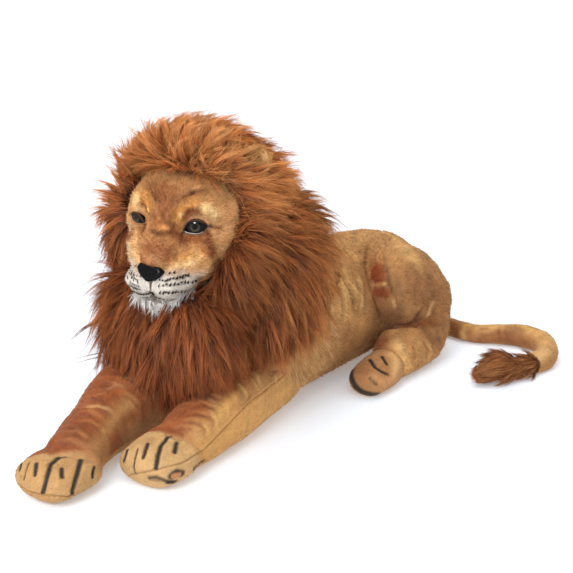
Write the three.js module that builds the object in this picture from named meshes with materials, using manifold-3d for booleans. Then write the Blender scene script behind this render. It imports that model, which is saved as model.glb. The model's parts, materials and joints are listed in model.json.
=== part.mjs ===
// A lying plush lion, in millimetres. It faces -Y, its left side is +X, and it rests on z = 0.
import * as THREE from 'three';
import { mergeVertices } from 'three/addons/utils/BufferGeometryUtils.js';
import Module from 'manifold-3d';

const wasm = await Module();
wasm.setup();

// Clearances
const seam = 0.3; // gap between neighbouring pieces, where the real ones are sewn together
const pressed = 0.5; // depth to which the ground presses a stuffed form flat
const overrun = 2; // how far a joined or cutting solid runs past the face that it meets

// Torso, from the rump forward to the chest
const torso = { length: 602, width: 240, height: 270, rumpBulge: 38, chestBulge: 40, behind: 297 };
const torsoShares = [
  [0, 0.00, 0.420, 0.43, 0.380],
  [0, 0.13, 0.435, 0.50, 0.435],
  [0, 0.34, 0.447, 0.48, 0.447],
  [0, 0.60, 0.476, 0.49, 0.476],
  [0, 0.85, 0.530, 0.50, 0.530],
  [0, 1.00, 0.550, 0.36, 0.400],
];

// Neck, from between the shoulders up to the skull
const neck = { length: 110, width: 176, height: 150, depth: 186, bulge: 20, ahead: 200, aboveBack: -95 };
const neckShares = [
  [0, 0.0, 0.0, 0.50, 0.50],
  [0, 0.5, 0.5, 0.48, 0.48],
  [0, 0.9, 1.0, 0.44, 0.44],
];

// Head, in a frame of its own with its origin at the skull's middle
const head = { width: 256, length: 215, height: 220, ahead: 318, aboveBack: 122, aside: -9 };
const headTurn = 8 * Math.PI / 180; // towards the lion's left
const bridgeBulge = 11;
const bridgeShares = [
  [0, 0.15, 0.32, 0.30, 0.14],
  [0, 0.38, 0.17, 0.20, 0.16],
  [0, 0.52, -0.02, 0.14, 0.15],
  [0, 0.60, -0.22, 0.115, 0.12],
];
const muzzleBulge = 16;
const muzzleShares = [
  [-0.19, 0.500, -0.370, 0.11, 0.11],
  [-0.09, 0.540, -0.365, 0.14, 0.15],
  [0.00, 0.535, -0.370, 0.12, 0.13],
  [0.09, 0.540, -0.365, 0.14, 0.15],
  [0.19, 0.500, -0.370, 0.11, 0.11],
];
const chinPlaceShares = [0, 0.50, -0.50];
const chinHalfShares = [0.14, 0.15, 0.09];

// Ears: thick round leaves that stand out of the skull
const ear = { halfWidth: 31, halfDepth: 12, halfHeight: 38, standOff: 150 };
const earAimShares = [0.70, 0.10, 0.71]; // direction from the skull's middle: aside, back and up
const earNest = { halfWidth: 40, halfDepth: 26, halfHeight: 62 };

// Moulded eyes and nose, each held by a shank through the cloth and a locking washer behind it
const eye = { halfWidth: 21, halfDepth: 10, halfHeight: 13.5, aside: 57, rise: 19, proud: 3 };
const eyeTurn = 26 * Math.PI / 180; // each eye looks this much to its own side
const nose = { width: 48, height: 32, depth: 7, edge: 5, rise: -56, ahead: 145 };
const noseTilt = 14 * Math.PI / 180; // the nose looks up by this much
const shank = { radius: 3.5, behindWasher: 7, washerDepth: 16 };
const washer = { radius: 12, thickness: 2.5 };

// Hind quarters
const thigh = { halfWidth: 70, halfLength: 136, halfHeight: 90, aside: 122, behind: 196, rise: 130 };
const thighDip = 45 * Math.PI / 180; // the rear end of a thigh is this much lower than its front end
const hindLeg = {
  length: 190, width: 96, height: 96, hockBulge: 32, ankleBulge: 20, aside: 166, behind: 262,
};
const hindLegShares = [
  [-0.05, 0.00, 0.46, 0.40, 0.46],
  [0.02, 0.45, 0.50, 0.48, 0.50],
  [0.00, 1.00, 0.44, 0.44, 0.44],
];
const hindPaw = { length: 84, width: 92, height: 64, heelBulge: 15, toeBulge: 24, offLeg: 2, pastLeg: 22 };
const pawShares = [
  [0, 0.00, 0.50, 0.41, 0.50],
  [0, 0.45, 0.46, 0.49, 0.46],
  [0, 1.00, 0.41, 0.46, 0.41],
];

// Forelegs: the right one reaches further than the left
const forelegRight = {
  length: 445, width: 138, height: 138, elbowBulge: 40, wristBulge: 26, aside: -66, ahead: 195,
};
const forelegRightShares = [
  [0.00, 0.00, 0.50, 0.48, 0.50],
  [0.00, 0.40, 0.50, 0.50, 0.50],
  [0.02, 0.75, 0.42, 0.41, 0.42],
  [0.26, 1.00, 0.34, 0.36, 0.34],
];
const forelegLeft = {
  length: 315, width: 124, height: 132, elbowBulge: 36, wristBulge: 24, aside: 56, ahead: 172,
};
const forelegLeftShares = [
  [-0.08, 0.00, 0.46, 0.50, 0.46],
  [0.07, 0.35, 0.48, 0.50, 0.48],
  [0.22, 0.70, 0.44, 0.45, 0.44],
  [0.28, 1.00, 0.37, 0.39, 0.37],
];
const frontPaw = { length: 84, width: 130, height: 76, heelBulge: 16, toeBulge: 26 };
const frontPawLeft = { offLeg: -12, inLeg: 1, turn: 0.06 };
const frontPawRight = { offLeg: 11, inLeg: 10, turn: -0.04 };

// Mane of long pile: a hood round the face with a ruff at the cheeks, a cape over the shoulders and a
// bib on the chest
const hood = {
  length: 225, width: 304, height: 350, napeBulge: 45, faceBulge: 22, aside: -10, ahead: 150, aboveBack: 118,
};
const hoodShares = [
  [0, 0.00, 0.03, 0.30, 0.28],
  [0, 0.30, 0.01, 0.42, 0.41],
  [0, 0.65, 0.00, 0.48, 0.49],
  [0, 1.00, 0.00, 0.46, 0.45],
];
const ruff = {
  length: 125, width: 350, height: 262, napeBulge: 40, faceBulge: 20, aside: -18, ahead: 254, aboveBack: 84,
};
const ruffShares = [
  [0, 0.00, 0.02, 0.42, 0.41],
  [0, 0.50, 0.00, 0.49, 0.49],
  [0, 1.00, 0.00, 0.46, 0.45],
];
const faceShares = [
  [0, 0.60, -0.60, 0.27, 0.57],
  [0, 0.60, -0.32, 0.33, 0.57],
  [0, 0.60, -0.08, 0.47, 0.57],
  [0, 0.60, 0.13, 0.57, 0.57],
  [0, 0.60, 0.29, 0.60, 0.57],
  [0, 0.60, 0.42, 0.50, 0.53],
];
const faceBulge = 18;
const cape = {
  length: 300, width: 322, height: 400, backBulge: 24, chestBulge: 34, behind: 15, aboveBack: -65,
};
const capeShares = [
  [0, 0.00, 0.00, 0.26, 0.22],
  [0, 0.30, 0.02, 0.38, 0.36],
  [0, 0.60, 0.10, 0.47, 0.45],
  [0, 0.85, 0.17, 0.51, 0.47],
  [0, 1.00, 0.17, 0.49, 0.45],
];
const bib = { length: 110, width: 312, height: 220, depth: 136, bulge: 24, aside: -10, ahead: 318, rise: 62 };
const bibShares = [
  [-0.14, 0.05, 0.00, 0.22, 0.34],
  [-0.13, 0.45, 0.33, 0.35, 0.46],
  [-0.02, 0.75, 0.66, 0.47, 0.50],
  [0, 0.65, 1.00, 0.40, 0.42],
];

// Tail: a ball in the rump, a stem that curls round on the ground, and a tuft on a ball at its end
const tail = { reach: 384, pastRump: 43, radius: 23, rootBulge: 9, ballRadius: 26, rise: 48, rootRise: 33 };
const tailShares = [
  [0.026, 0.000, 0.87],
  [0.125, 0.068, 0.87],
  [0.260, 0.058, 0.96],
  [0.395, 0.022, 1.00],
  [0.534, 0.016, 1.00],
  [0.661, 0.063, 1.00],
  [0.794, 0.099, 1.00],
  [0.898, 0.079, 1.00],
  [0.990, -0.018, 0.97],
  [1.023, -0.143, 0.95],
  [1.000, -0.249, 0.91],
];
const tuft = { length: 116, width: 66, aside: 60, tipBulge: 20 };
const tuftShares = [
  [0.00, 0.00, 0.24],
  [0.20, 0.26, 0.34],
  [0.52, 0.60, 0.50],
  [0.86, 0.88, 0.34],
];

// Faceting
const sides = 14;
const rows = 10;
const thinSides = 10;
const thinRows = 8;
const capRings = 2;
const fullness = 2.25; // exponent of a ring's outline: 2 is an ellipse, and more is squarer

const up = new THREE.Vector3(0, 0, 1);
const forward = new THREE.Vector3(0, -1, 0);
const skullMiddle = { x: 0, y: 0, z: 0 };

// Solid from a list of points and a list of triangles that face out
function solidFrom(points, triangles) {
  return new wasm.Manifold(new wasm.Mesh({
    numProp: 3,
    vertProperties: Float32Array.from(points.flatMap((point) => point.toArray())),
    triVerts: Uint32Array.from(triangles.flat()),
  }));
}

// Solid from a closed geometry
function solidOf(geometry) {
  const bare = geometry.clone();
  bare.deleteAttribute('normal');
  bare.deleteAttribute('uv');
  const merged = mergeVertices(bare);
  return new wasm.Manifold(new wasm.Mesh({
    numProp: 3,
    vertProperties: Float32Array.from(merged.attributes.position.array),
    triVerts: Uint32Array.from(merged.index.array),
  }));
}

// Stations of a form: each row of shares is aside, ahead, up, half width and half height or depth
function stationsOf(shares, from, size, side = 1) {
  return shares.map(([aside, ahead, rise, wide, high]) => ({
    at: new THREE.Vector3(
      side * (from.x + aside * size.width),
      from.y - ahead * size.length,
      from.z + rise * size.height,
    ),
    girth: new THREE.Vector3(wide * size.width, high * (size.depth ?? size.height), 0),
  }));
}

// One ring of points round a route
function ringOf(centre, tangent, hint, wide, high, count) {
  const across = new THREE.Vector3().crossVectors(hint, tangent).normalize();
  const lift = new THREE.Vector3().crossVectors(tangent, across).normalize();
  const rounded = (value) => Math.sign(value) * Math.abs(value) ** (2 / fullness);
  const tallest = rounded(Math.cos(Math.PI / count)); // the facets above and below lie at the full height
  return Array.from({ length: count }, (_, index) => {
    const turn = 2 * Math.PI * index / count;
    return centre.clone()
      .addScaledVector(across, wide * rounded(Math.cos(turn)))
      .addScaledVector(lift, high * rounded(Math.sin(turn)) / tallest);
  });
}

// Triangles of the skin between rings, with a fan at each pole
function skinOf(ringCount, count, first, last) {
  const triangles = [];
  const end = (ringCount - 1) * count;
  for (let side = 0; side < count; side += 1) {
    const next = (side + 1) % count;
    triangles.push([first, next, side], [last, end + side, end + next]);
    for (let near = 0; near < end; near += count) {
      const far = near + count;
      triangles.push([near + side, near + next, far + next], [near + side, far + next, far + side]);
    }
  }
  return triangles;
}

// A stuffed form: it swells and tapers along a route through its stations and closes in round ends
function stuffed(stations, { ends, rings, grow = 0, hint = up, count = sides }) {
  const route = new THREE.CatmullRomCurve3(stations.map(({ at }) => at), false, 'catmullrom');
  const girths = new THREE.CatmullRomCurve3(stations.map(({ girth }) => girth), false, 'catmullrom');
  const [startDepth, stopDepth] = ends.map((depth) => depth + grow);
  const points = [];
  const addRing = (t, shift, shrink) => {
    const tangent = route.getTangent(t);
    const centre = route.getPoint(t).addScaledVector(tangent, shift);
    const girth = girths.getPoint(t);
    const [wide, high] = [girth.x + grow, girth.y + grow];
    points.push(...ringOf(centre, tangent, hint, wide * shrink, high * shrink, count));
  };
  for (let cap = capRings; cap > 0; cap -= 1) {
    const turn = Math.PI / 2 * cap / (capRings + 1);
    addRing(0, -startDepth * Math.sin(turn), Math.cos(turn));
  }
  for (let ring = 0; ring <= rings; ring += 1) {
    addRing(ring / rings, 0, 1);
  }
  for (let cap = 1; cap <= capRings; cap += 1) {
    const turn = Math.PI / 2 * cap / (capRings + 1);
    addRing(1, stopDepth * Math.sin(turn), Math.cos(turn));
  }
  points.push(route.getPoint(0).addScaledVector(route.getTangent(0), -startDepth));
  points.push(route.getPoint(1).addScaledVector(route.getTangent(1), stopDepth));
  return solidFrom(points, skinOf(rings + 1 + 2 * capRings, count, points.length - 2, points.length - 1));
}

// An egg: a sphere drawn out to three half sizes and set in place
function egg(centre, half, grow = 0, around = sides, down = rows) {
  const geometry = new THREE.SphereGeometry(1, around, down);
  geometry.scale(half.x + grow, half.y + grow, half.z + grow);
  geometry.translate(centre.x, centre.y, centre.z);
  return solidOf(geometry);
}

const ball = (centre, radius) => egg(centre, { x: radius, y: radius, z: radius }, 0, sides, thinRows);
const onGround = (solid) => solid.trimByPlane([0, 0, 1], 0);
const moved = (solid, matrix) => solid.transform(matrix.elements);
const riseOf = (form) => torso.height + form.aboveBack; // the head and mane go up and down with the back

// Body
const torsoForm = (grow = 0) => stuffed(
  stationsOf(torsoShares, { x: 0, y: torso.behind, z: -pressed }, torso),
  { ends: [torso.rumpBulge, torso.chestBulge], rings: 8, grow },
);
const neckForm = (grow = 0) => stuffed(
  stationsOf(neckShares, { x: 0, y: -neck.ahead, z: riseOf(neck) }, neck),
  { ends: [neck.bulge, neck.bulge], rings: 3, grow, hint: forward },
);

// Head pieces, in the head's frame
const headMiddle = new THREE.Vector3(head.aside, -head.ahead, riseOf(head));
const headPlace = new THREE.Matrix4().makeRotationZ(headTurn).setPosition(headMiddle);
const inWorld = (solid) => moved(solid, headPlace);
const skullHalf = { x: head.width / 2, y: head.length / 2, z: head.height / 2 };
const bridgeForm = (grow) => stuffed(stationsOf(bridgeShares, skullMiddle, head),
  { ends: [bridgeBulge, bridgeBulge], rings: 4, grow });
const headForm = (grow = 0) => egg(skullMiddle, skullHalf, grow).add(bridgeForm(grow));
const muzzleForm = (grow = 0) => stuffed(stationsOf(muzzleShares, skullMiddle, head),
  { ends: [muzzleBulge, muzzleBulge], rings: 6, grow, count: thinSides });

function chinForm(grow = 0) {
  const [aside, ahead, rise] = chinPlaceShares;
  const [wide, deep, high] = chinHalfShares;
  const centre = { x: aside * head.width, y: -ahead * head.length, z: rise * head.height };
  const half = { x: wide * head.width, y: deep * head.length, z: high * head.height };
  return egg(centre, half, grow, thinSides, thinRows);
}

// Frame of an ear: its height points away from the skull's middle
function earPlace(side) {
  const [aside, back, rise] = earAimShares;
  const aim = new THREE.Vector3(side * aside, back, rise).normalize();
  const turn = new THREE.Quaternion().setFromUnitVectors(up, aim);
  return new THREE.Matrix4().compose(aim.multiplyScalar(ear.standOff), turn, new THREE.Vector3(1, 1, 1));
}
const earForm = (side, grow = 0) => moved(
  egg(skullMiddle, { x: ear.halfWidth, y: ear.halfDepth, z: ear.halfHeight }, grow, thinSides, thinRows),
  earPlace(side),
);
const earNestHalf = { x: earNest.halfWidth, y: earNest.halfDepth, z: earNest.halfHeight };
const earNestForm = (side) => moved(egg(skullMiddle, earNestHalf, 0, thinSides, thinRows), earPlace(side));

// Frame of a moulded feature: +Z looks out of the face, and the origin is on the cloth
function featurePlace(aside, ahead, rise, yaw, tilt) {
  const lean = new THREE.Matrix4().makeRotationX(Math.PI / 2 - tilt);
  return new THREE.Matrix4().makeRotationZ(yaw).multiply(lean).setPosition(aside, -ahead, rise);
}
const eyeAhead = skullHalf.y * Math.sqrt(1 - (eye.aside / skullHalf.x) ** 2 - (eye.rise / skullHalf.z) ** 2);
const eyePlace = (side) => featurePlace(side * eye.aside, eyeAhead, eye.rise, side * eyeTurn, 0);
const nosePlace = featurePlace(0, nose.ahead, nose.rise, 0, noseTilt);

// A rod along Z, from one height to another
function rod(radius, from, to) {
  const geometry = new THREE.CylinderGeometry(radius, radius, to - from, thinSides);
  geometry.rotateX(Math.PI / 2);
  geometry.translate(0, 0, (from + to) / 2);
  return solidOf(geometry);
}
const shankEnd = -shank.washerDepth - washer.thickness - shank.behindWasher;
const shankForm = (grow = 0) => rod(shank.radius + grow, shankEnd - grow, overrun);
const washerBack = -shank.washerDepth - washer.thickness;
const washerForm = () => rod(washer.radius, washerBack, -shank.washerDepth)
  .subtract(rod(shank.radius + seam, washerBack - overrun, overrun - shank.washerDepth));
const washerNest = () => rod(washer.radius + seam, washerBack - seam, seam - shank.washerDepth)
  .add(shankForm(seam));

// Eye: an almond dome
const eyeHalf = { x: eye.halfWidth, y: eye.halfHeight, z: eye.halfDepth };
const eyeDome = () => egg({ x: 0, y: 0, z: eye.proud }, eyeHalf, 0, sides, thinRows);

// Nose: a rounded triangle with a swelling face
function noseDome() {
  const half = nose.width / 2 - nose.edge;
  const top = nose.height / 2 - nose.edge;
  const outline = new THREE.Shape();
  outline.moveTo(0, -top);
  outline.quadraticCurveTo(half, -top / 3, half, top / 2);
  outline.quadraticCurveTo(half, top, 0, top);
  outline.quadraticCurveTo(-half, top, -half, top / 2);
  outline.quadraticCurveTo(-half, -top / 3, 0, -top);
  const geometry = new THREE.ExtrudeGeometry(outline, {
    depth: nose.depth,
    bevelThickness: nose.edge,
    bevelSize: nose.edge,
    bevelSegments: 2,
    curveSegments: 3,
  });
  return solidOf(geometry);
}

const faceForm = () => stuffed(stationsOf(faceShares, skullMiddle, head),
  { ends: [pressed, faceBulge], rings: 7, hint: forward });

// Legs and paws
const thighHalf = { x: thigh.halfWidth, y: thigh.halfLength, z: thigh.halfHeight };
const thighForm = (side, grow = 0) => moved(
  egg(skullMiddle, thighHalf, grow),
  new THREE.Matrix4().makeRotationX(-thighDip).setPosition(side * thigh.aside, thigh.behind, thigh.rise),
);
const hindLegForm = (side, grow = 0) => stuffed(
  stationsOf(hindLegShares, { x: hindLeg.aside, y: hindLeg.behind, z: -pressed }, hindLeg, side),
  { ends: [hindLeg.hockBulge, hindLeg.ankleBulge], rings: 4, grow },
);
const hindPawPlace = {
  x: hindLeg.aside + hindPaw.offLeg,
  y: hindLeg.behind - hindLeg.length - hindPaw.pastLeg,
  z: -pressed,
};
const hindPawForm = (side, grow = 0) => stuffed(
  stationsOf(pawShares, hindPawPlace, hindPaw, side),
  { ends: [hindPaw.heelBulge, hindPaw.toeBulge], rings: 3, grow },
);
const forelegForm = (leg, shares, grow = 0) => stuffed(
  stationsOf(shares, { x: leg.aside, y: -leg.ahead, z: -pressed }, leg),
  { ends: [leg.elbowBulge, leg.wristBulge], rings: 6, grow },
);

// A front paw lies at the end of its leg
function frontPawForm(leg, legShares, paw, grow = 0) {
  const [wristAside] = legShares[legShares.length - 1];
  const x = leg.aside + wristAside * leg.width + paw.offLeg;
  const y = paw.inLeg - leg.ahead - leg.length;
  const form = stuffed(stationsOf(pawShares, { x: 0, y: 0, z: -pressed }, frontPaw),
    { ends: [frontPaw.heelBulge, frontPaw.toeBulge], rings: 3, grow });
  return moved(form, new THREE.Matrix4().makeRotationZ(paw.turn).setPosition(x, y, 0));
}

// Mane
const wrapForm = (wrap, shares, rings, grow) => stuffed( // wraps round the head, from the nape to the face
  stationsOf(shares, { x: wrap.aside, y: -wrap.ahead, z: riseOf(wrap) }, wrap),
  { ends: [wrap.napeBulge, wrap.faceBulge], rings, grow },
);
const hoodForm = (grow = 0) => wrapForm(hood, hoodShares, 5, grow).add(wrapForm(ruff, ruffShares, 3, grow));
const capeForm = (grow = 0) => stuffed(
  stationsOf(capeShares, { x: 0, y: cape.behind, z: riseOf(cape) }, cape),
  { ends: [cape.backBulge, cape.chestBulge], rings: 5, grow },
);
const bibForm = (grow = 0) => stuffed(
  stationsOf(bibShares, { x: bib.aside, y: -bib.ahead, z: bib.rise }, bib),
  { ends: [bib.bulge, bib.bulge], rings: 5, grow, hint: forward },
);

// Tail: the first station is the ball's middle, and the others lie on the ground
const tailRises = [tail.rise, tail.rootRise];
const tailStations = tailShares.map(([aside, back, wide], index) => ({
  at: new THREE.Vector3(
    aside * tail.reach,
    torso.behind + tail.pastRump + back * tail.reach,
    tailRises[index] ?? wide * tail.radius - pressed,
  ),
  girth: new THREE.Vector3(wide * tail.radius, wide * tail.radius, 0),
}));
const tailRoot = tailStations[0].at;
const tailTip = tailStations[tailStations.length - 1].at;
const tipRadius = tailStations[tailStations.length - 1].girth.x;
const socketOf = (radius) => radius / Math.cos(Math.PI / sides) + seam;
const tailForm = () => stuffed(tailStations, { ends: [tail.rootBulge, pressed], rings: 20, count: thinSides })
  .add(ball(tailRoot, tail.ballRadius));
const tuftStations = tuftShares.map(([aside, ahead, wide], index) => ({
  at: new THREE.Vector3(
    tailTip.x - aside * tuft.aside,
    tailTip.y - ahead * tuft.length,
    index === 0 ? tailTip.z : Math.max(wide * tuft.width - pressed, tailTip.z),
  ),
  girth: new THREE.Vector3(wide * tuft.width, wide * tuft.width, 0),
}));
const tuftForm = () => stuffed(tuftStations, { ends: [pressed, tuft.tipBulge], rings: 6 })
  .add(ball(tailTip, tipRadius));

const group = new THREE.Group();
const headGroup = new THREE.Group();
headGroup.rotation.z = headTurn;
headGroup.position.copy(headMiddle);
group.add(headGroup);

const finishes = {
  shortPile: { color: 0xc99a62, roughness: 0.9 },
  longPile: { color: 0x9a5a30, roughness: 0.95 },
  whitePile: { color: 0xe9e2d6, roughness: 0.9 },
  noseBlack: { color: 0x151312, roughness: 0.25 },
  eyeBrown: { color: 0x4a3a28, roughness: 0.12 },
  washerWhite: { color: 0xe8e8e4, roughness: 0.45 },
};

// The largest of the bodies that a cut leaves
function largest(solid) {
  return solid.decompose().reduce((best, next) => (next.volume() > best.volume() ? next : best));
}

// Adds one node: a form cut clear of the larger forms round it
function addPiece(name, finish, form, cutters = [], parent = group) {
  const solid = largest(cutters.reduce((rest, cutter) => rest.subtract(cutter), form));
  const { vertProperties, triVerts } = solid.getMesh();
  const geometry = new THREE.BufferGeometry();
  geometry.setAttribute('position', new THREE.Float32BufferAttribute(vertProperties, 3));
  geometry.setIndex(new THREE.BufferAttribute(triVerts, 1));
  geometry.computeVertexNormals();
  const material = new THREE.MeshStandardMaterial({ metalness: 0, ...finishes[finish] });
  const mesh = new THREE.Mesh(geometry, material);
  mesh.name = name;
  parent.add(mesh);
}

const sideNames = [['left', 1], ['right', -1]];
const torsoCut = torsoForm(seam);
const neckCut = neckForm(seam);
const headCut = headForm(seam);
const headCutInWorld = inWorld(headCut);
const forelegs = [
  ['left', forelegLeft, forelegLeftShares, frontPawLeft],
  ['right', forelegRight, forelegRightShares, frontPawRight],
];
const forelegCuts = forelegs.map(([, leg, shares]) => forelegForm(leg, shares, seam));

// Body
addPiece('torso', 'shortPile', onGround(torsoForm()), [ball(tailRoot, socketOf(tail.ballRadius))]);
addPiece('neck', 'shortPile', neckForm(), [torsoCut, headCutInWorld]);

// Head and face
const features = [nosePlace, eyePlace(1), eyePlace(-1)];
addPiece('head', 'shortPile', headForm(), features.map((place) => moved(washerNest(), place)), headGroup);
const muzzleCuts = [headCut, moved(washerNest(), nosePlace)];
addPiece('muzzle', 'whitePile', muzzleForm(), muzzleCuts, headGroup);
addPiece('chin', 'whitePile', chinForm(), [headCut, muzzleForm(seam)], headGroup);
const noseForm = moved(noseDome(), nosePlace).subtract(headCut).subtract(muzzleForm(seam));
addPiece('nose', 'noseBlack', noseForm.add(moved(shankForm(), nosePlace)), [], headGroup);
addPiece('nose_washer', 'washerWhite', moved(washerForm(), nosePlace), [], headGroup);
for (const [name, side] of sideNames) {
  const dome = moved(eyeDome(), eyePlace(side)).subtract(headCut);
  addPiece(`eye_${name}`, 'eyeBrown', dome.add(moved(shankForm(), eyePlace(side))), [], headGroup);
  addPiece(`eye_washer_${name}`, 'washerWhite', moved(washerForm(), eyePlace(side)), [], headGroup);
  addPiece(`ear_${name}`, 'shortPile', earForm(side), [headCut], headGroup);
}

// Legs
for (const [name, side] of sideNames) {
  const thighCut = thighForm(side, seam);
  addPiece(`thigh_${name}`, 'shortPile', thighForm(side), [torsoCut]);
  addPiece(`hind_leg_${name}`, 'shortPile', onGround(hindLegForm(side)), [torsoCut, thighCut]);
  const hindPawCuts = [torsoCut, thighCut, hindLegForm(side, seam)];
  addPiece(`hind_paw_${name}`, 'shortPile', onGround(hindPawForm(side)), hindPawCuts);
}
for (const [index, [name, leg, shares, paw]] of forelegs.entries()) {
  const legCuts = [torsoCut, ...forelegCuts.slice(0, index)];
  addPiece(`foreleg_${name}`, 'shortPile', onGround(forelegForm(leg, shares)), legCuts);
  addPiece(`front_paw_${name}`, 'shortPile', onGround(frontPawForm(leg, shares, paw)), forelegCuts);
}

// Mane
const faceCuts = [inWorld(faceForm()), inWorld(earNestForm(1)), inWorld(earNestForm(-1))];
const bodyCuts = [torsoCut, neckCut, headCutInWorld];
addPiece('mane_hood', 'longPile', hoodForm(), [...bodyCuts, ...faceCuts]);
addPiece('mane_cape', 'longPile', capeForm(), [...bodyCuts, ...forelegCuts, ...faceCuts, hoodForm(seam)]);
addPiece('mane_bib', 'longPile', bibForm(), [...bodyCuts, ...forelegCuts, hoodForm(seam), capeForm(seam),
  inWorld(muzzleForm(seam)), inWorld(chinForm(seam))]);

// Tail
addPiece('tail', 'shortPile', onGround(tailForm()), [ball(tailTip, socketOf(tipRadius))]);
addPiece('tail_tuft', 'longPile', onGround(tuftForm()), []);

export default group;
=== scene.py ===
"""Looks of a lying plush lion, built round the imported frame.

Metres, +Z up. The lion faces -Y and its left is +X."""
import json

import bpy
import numpy as np
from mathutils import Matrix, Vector
from mathutils.bvhtree import BVHTree


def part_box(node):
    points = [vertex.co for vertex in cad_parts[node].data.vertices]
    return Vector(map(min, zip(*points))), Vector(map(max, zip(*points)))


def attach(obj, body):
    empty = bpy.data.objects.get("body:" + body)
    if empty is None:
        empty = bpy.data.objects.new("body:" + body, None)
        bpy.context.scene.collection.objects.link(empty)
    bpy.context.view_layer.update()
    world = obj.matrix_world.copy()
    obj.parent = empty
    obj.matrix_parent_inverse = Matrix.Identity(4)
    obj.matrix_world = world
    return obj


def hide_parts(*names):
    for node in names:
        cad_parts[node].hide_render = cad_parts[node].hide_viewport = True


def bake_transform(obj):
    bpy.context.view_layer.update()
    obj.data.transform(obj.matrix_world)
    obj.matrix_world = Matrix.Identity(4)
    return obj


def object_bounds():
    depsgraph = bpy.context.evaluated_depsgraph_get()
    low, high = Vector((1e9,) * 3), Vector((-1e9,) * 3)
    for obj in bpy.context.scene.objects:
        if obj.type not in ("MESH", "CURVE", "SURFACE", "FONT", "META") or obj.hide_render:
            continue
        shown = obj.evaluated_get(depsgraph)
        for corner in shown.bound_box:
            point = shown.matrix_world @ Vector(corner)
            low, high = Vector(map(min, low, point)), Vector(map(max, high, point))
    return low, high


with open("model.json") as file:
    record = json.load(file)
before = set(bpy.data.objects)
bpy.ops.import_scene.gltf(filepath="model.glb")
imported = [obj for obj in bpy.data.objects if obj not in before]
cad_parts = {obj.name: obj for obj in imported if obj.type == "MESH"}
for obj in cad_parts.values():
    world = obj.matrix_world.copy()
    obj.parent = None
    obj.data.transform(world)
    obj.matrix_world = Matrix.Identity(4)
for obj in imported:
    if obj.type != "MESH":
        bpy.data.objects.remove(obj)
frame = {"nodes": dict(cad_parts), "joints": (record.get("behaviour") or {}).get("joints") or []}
cad_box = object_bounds()
NODES = frame["nodes"]
BODY = "lion"
TAIL_ROOT, TUFT_ROOT = (joint["pos_m"] for joint in frame["joints"])
SIDES = {1: "left", -1: "right"}  # the sign of X on each side, and the side's name
ALL_ROUND = (1, 1, 1)
BELOW = np.array([0, 0, -1.0])
FEW = 1.0  # share of the long pile that is grown

# Camera, at the photograph's angle
SIDE = 573
FOCAL = 1421.0  # in pixels of the photograph
SENSOR = 36
EYE = np.array([1.54556, -2.18534, 1.09903])
AIM = np.array([0.045, -0.12, 0.22])
BACK = (EYE - AIM) / np.linalg.norm(EYE - AIM)
RIGHT = np.cross([0, 0, 1.0], BACK)
RIGHT /= np.linalg.norm(RIGHT)
UP = np.cross(BACK, RIGHT)


def shown(ob):
    bpy.context.scene.collection.objects.link(ob)
    return ob


def aimed(ob, at, way):
    """Stands a camera or lamp at a place, looking along a way."""
    ob.location = at
    ob.rotation_mode = "QUATERNION"
    ob.rotation_quaternion = Vector(way).to_track_quat("-Z", "Y")
    return shown(ob)


def make_camera():
    data = bpy.data.cameras.new("camera")
    data.sensor_width = SENSOR
    data.lens = FOCAL * SENSOR / SIDE
    data.clip_end = 60
    bpy.context.scene.camera = aimed(bpy.data.objects.new("camera", data), EYE, -BACK)


def ray(px, py):
    way = (px - SIDE / 2) / FOCAL * RIGHT - (py - SIDE / 2) / FOCAL * UP - BACK
    return way / np.linalg.norm(way)


def pixels(points):
    """Where the camera sees some points, in pixels of the photograph."""
    p = points - EYE
    depth = -(p @ BACK)
    return np.stack([SIDE / 2 + FOCAL * (p @ RIGHT) / depth, SIDE / 2 - FOCAL * (p @ UP) / depth], 1)


def seen(tree, px, py):
    """What the camera's ray through a pixel meets: place, normal, face and distance, or four times None."""
    return tree.ray_cast(Vector(EYE), Vector(ray(px, py)))


# Numbers
def rng(seed):
    return np.random.default_rng(seed)


def unit(v):
    return v / np.maximum(np.linalg.norm(v, axis=-1, keepdims=True), 1e-12)


def tangent(v, normal):
    """v with its part along the normal taken out."""
    return v - normal * (v * normal).sum(-1, keepdims=True)


def noise(points, scale, seed):
    """Smooth noise in space, from -1 to 1."""
    p = np.asarray(points) * scale + seed * 17.31
    cell = np.floor(p).astype(np.int64)
    f = p - cell
    f = f * f * (3 - 2 * f)
    total = np.zeros(len(p))
    for corner in np.ndindex(2, 2, 2):
        c = cell + corner
        h = (c[:, 0] * 73856093) ^ (c[:, 1] * 19349663) ^ (c[:, 2] * 83492791) ^ (seed * 26544357)
        h = ((h ^ (h >> 13)) * 1274126177) & 0xFFFFFFFF
        value = ((h >> 8) & 0xFFFF) / 32767.5 - 1
        total += value * np.prod(np.where(corner, f, 1 - f), axis=1)
    return total


def drift(points, scale, seed):
    """A smoothly changing direction: noise of three seeds, from seed up."""
    return np.stack([noise(points, scale, seed + k) for k in range(3)], 1)


def ramp(x, low, high):
    t = np.clip((x - low) / (high - low), 0, 1)
    return t * t * (3 - 2 * t)


def bent(x, low, high):
    """x, drawn in softly above low so that it stays under high."""
    return np.where(x > low, low + (high - low) * np.tanh((x - low) / (high - low)), x)


def lin(*rgb):
    """Linear colour from one as seen on a screen, 0 to 255."""
    c = np.array(rgb, float) / 255
    return np.where(c <= 0.04045, c / 12.92, ((c + 0.055) / 1.055) ** 2.4)


def mixed(a, b, t):
    t = np.asarray(t)[..., None]
    return a * (1 - t) + b * t


def along_strand(root, tip, t):
    """Colours from each strand's root to its tip, at the shares t of its length."""
    t = t[None, :, None]
    return root[:, None] * (1 - t) + tip[:, None] * t


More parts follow.
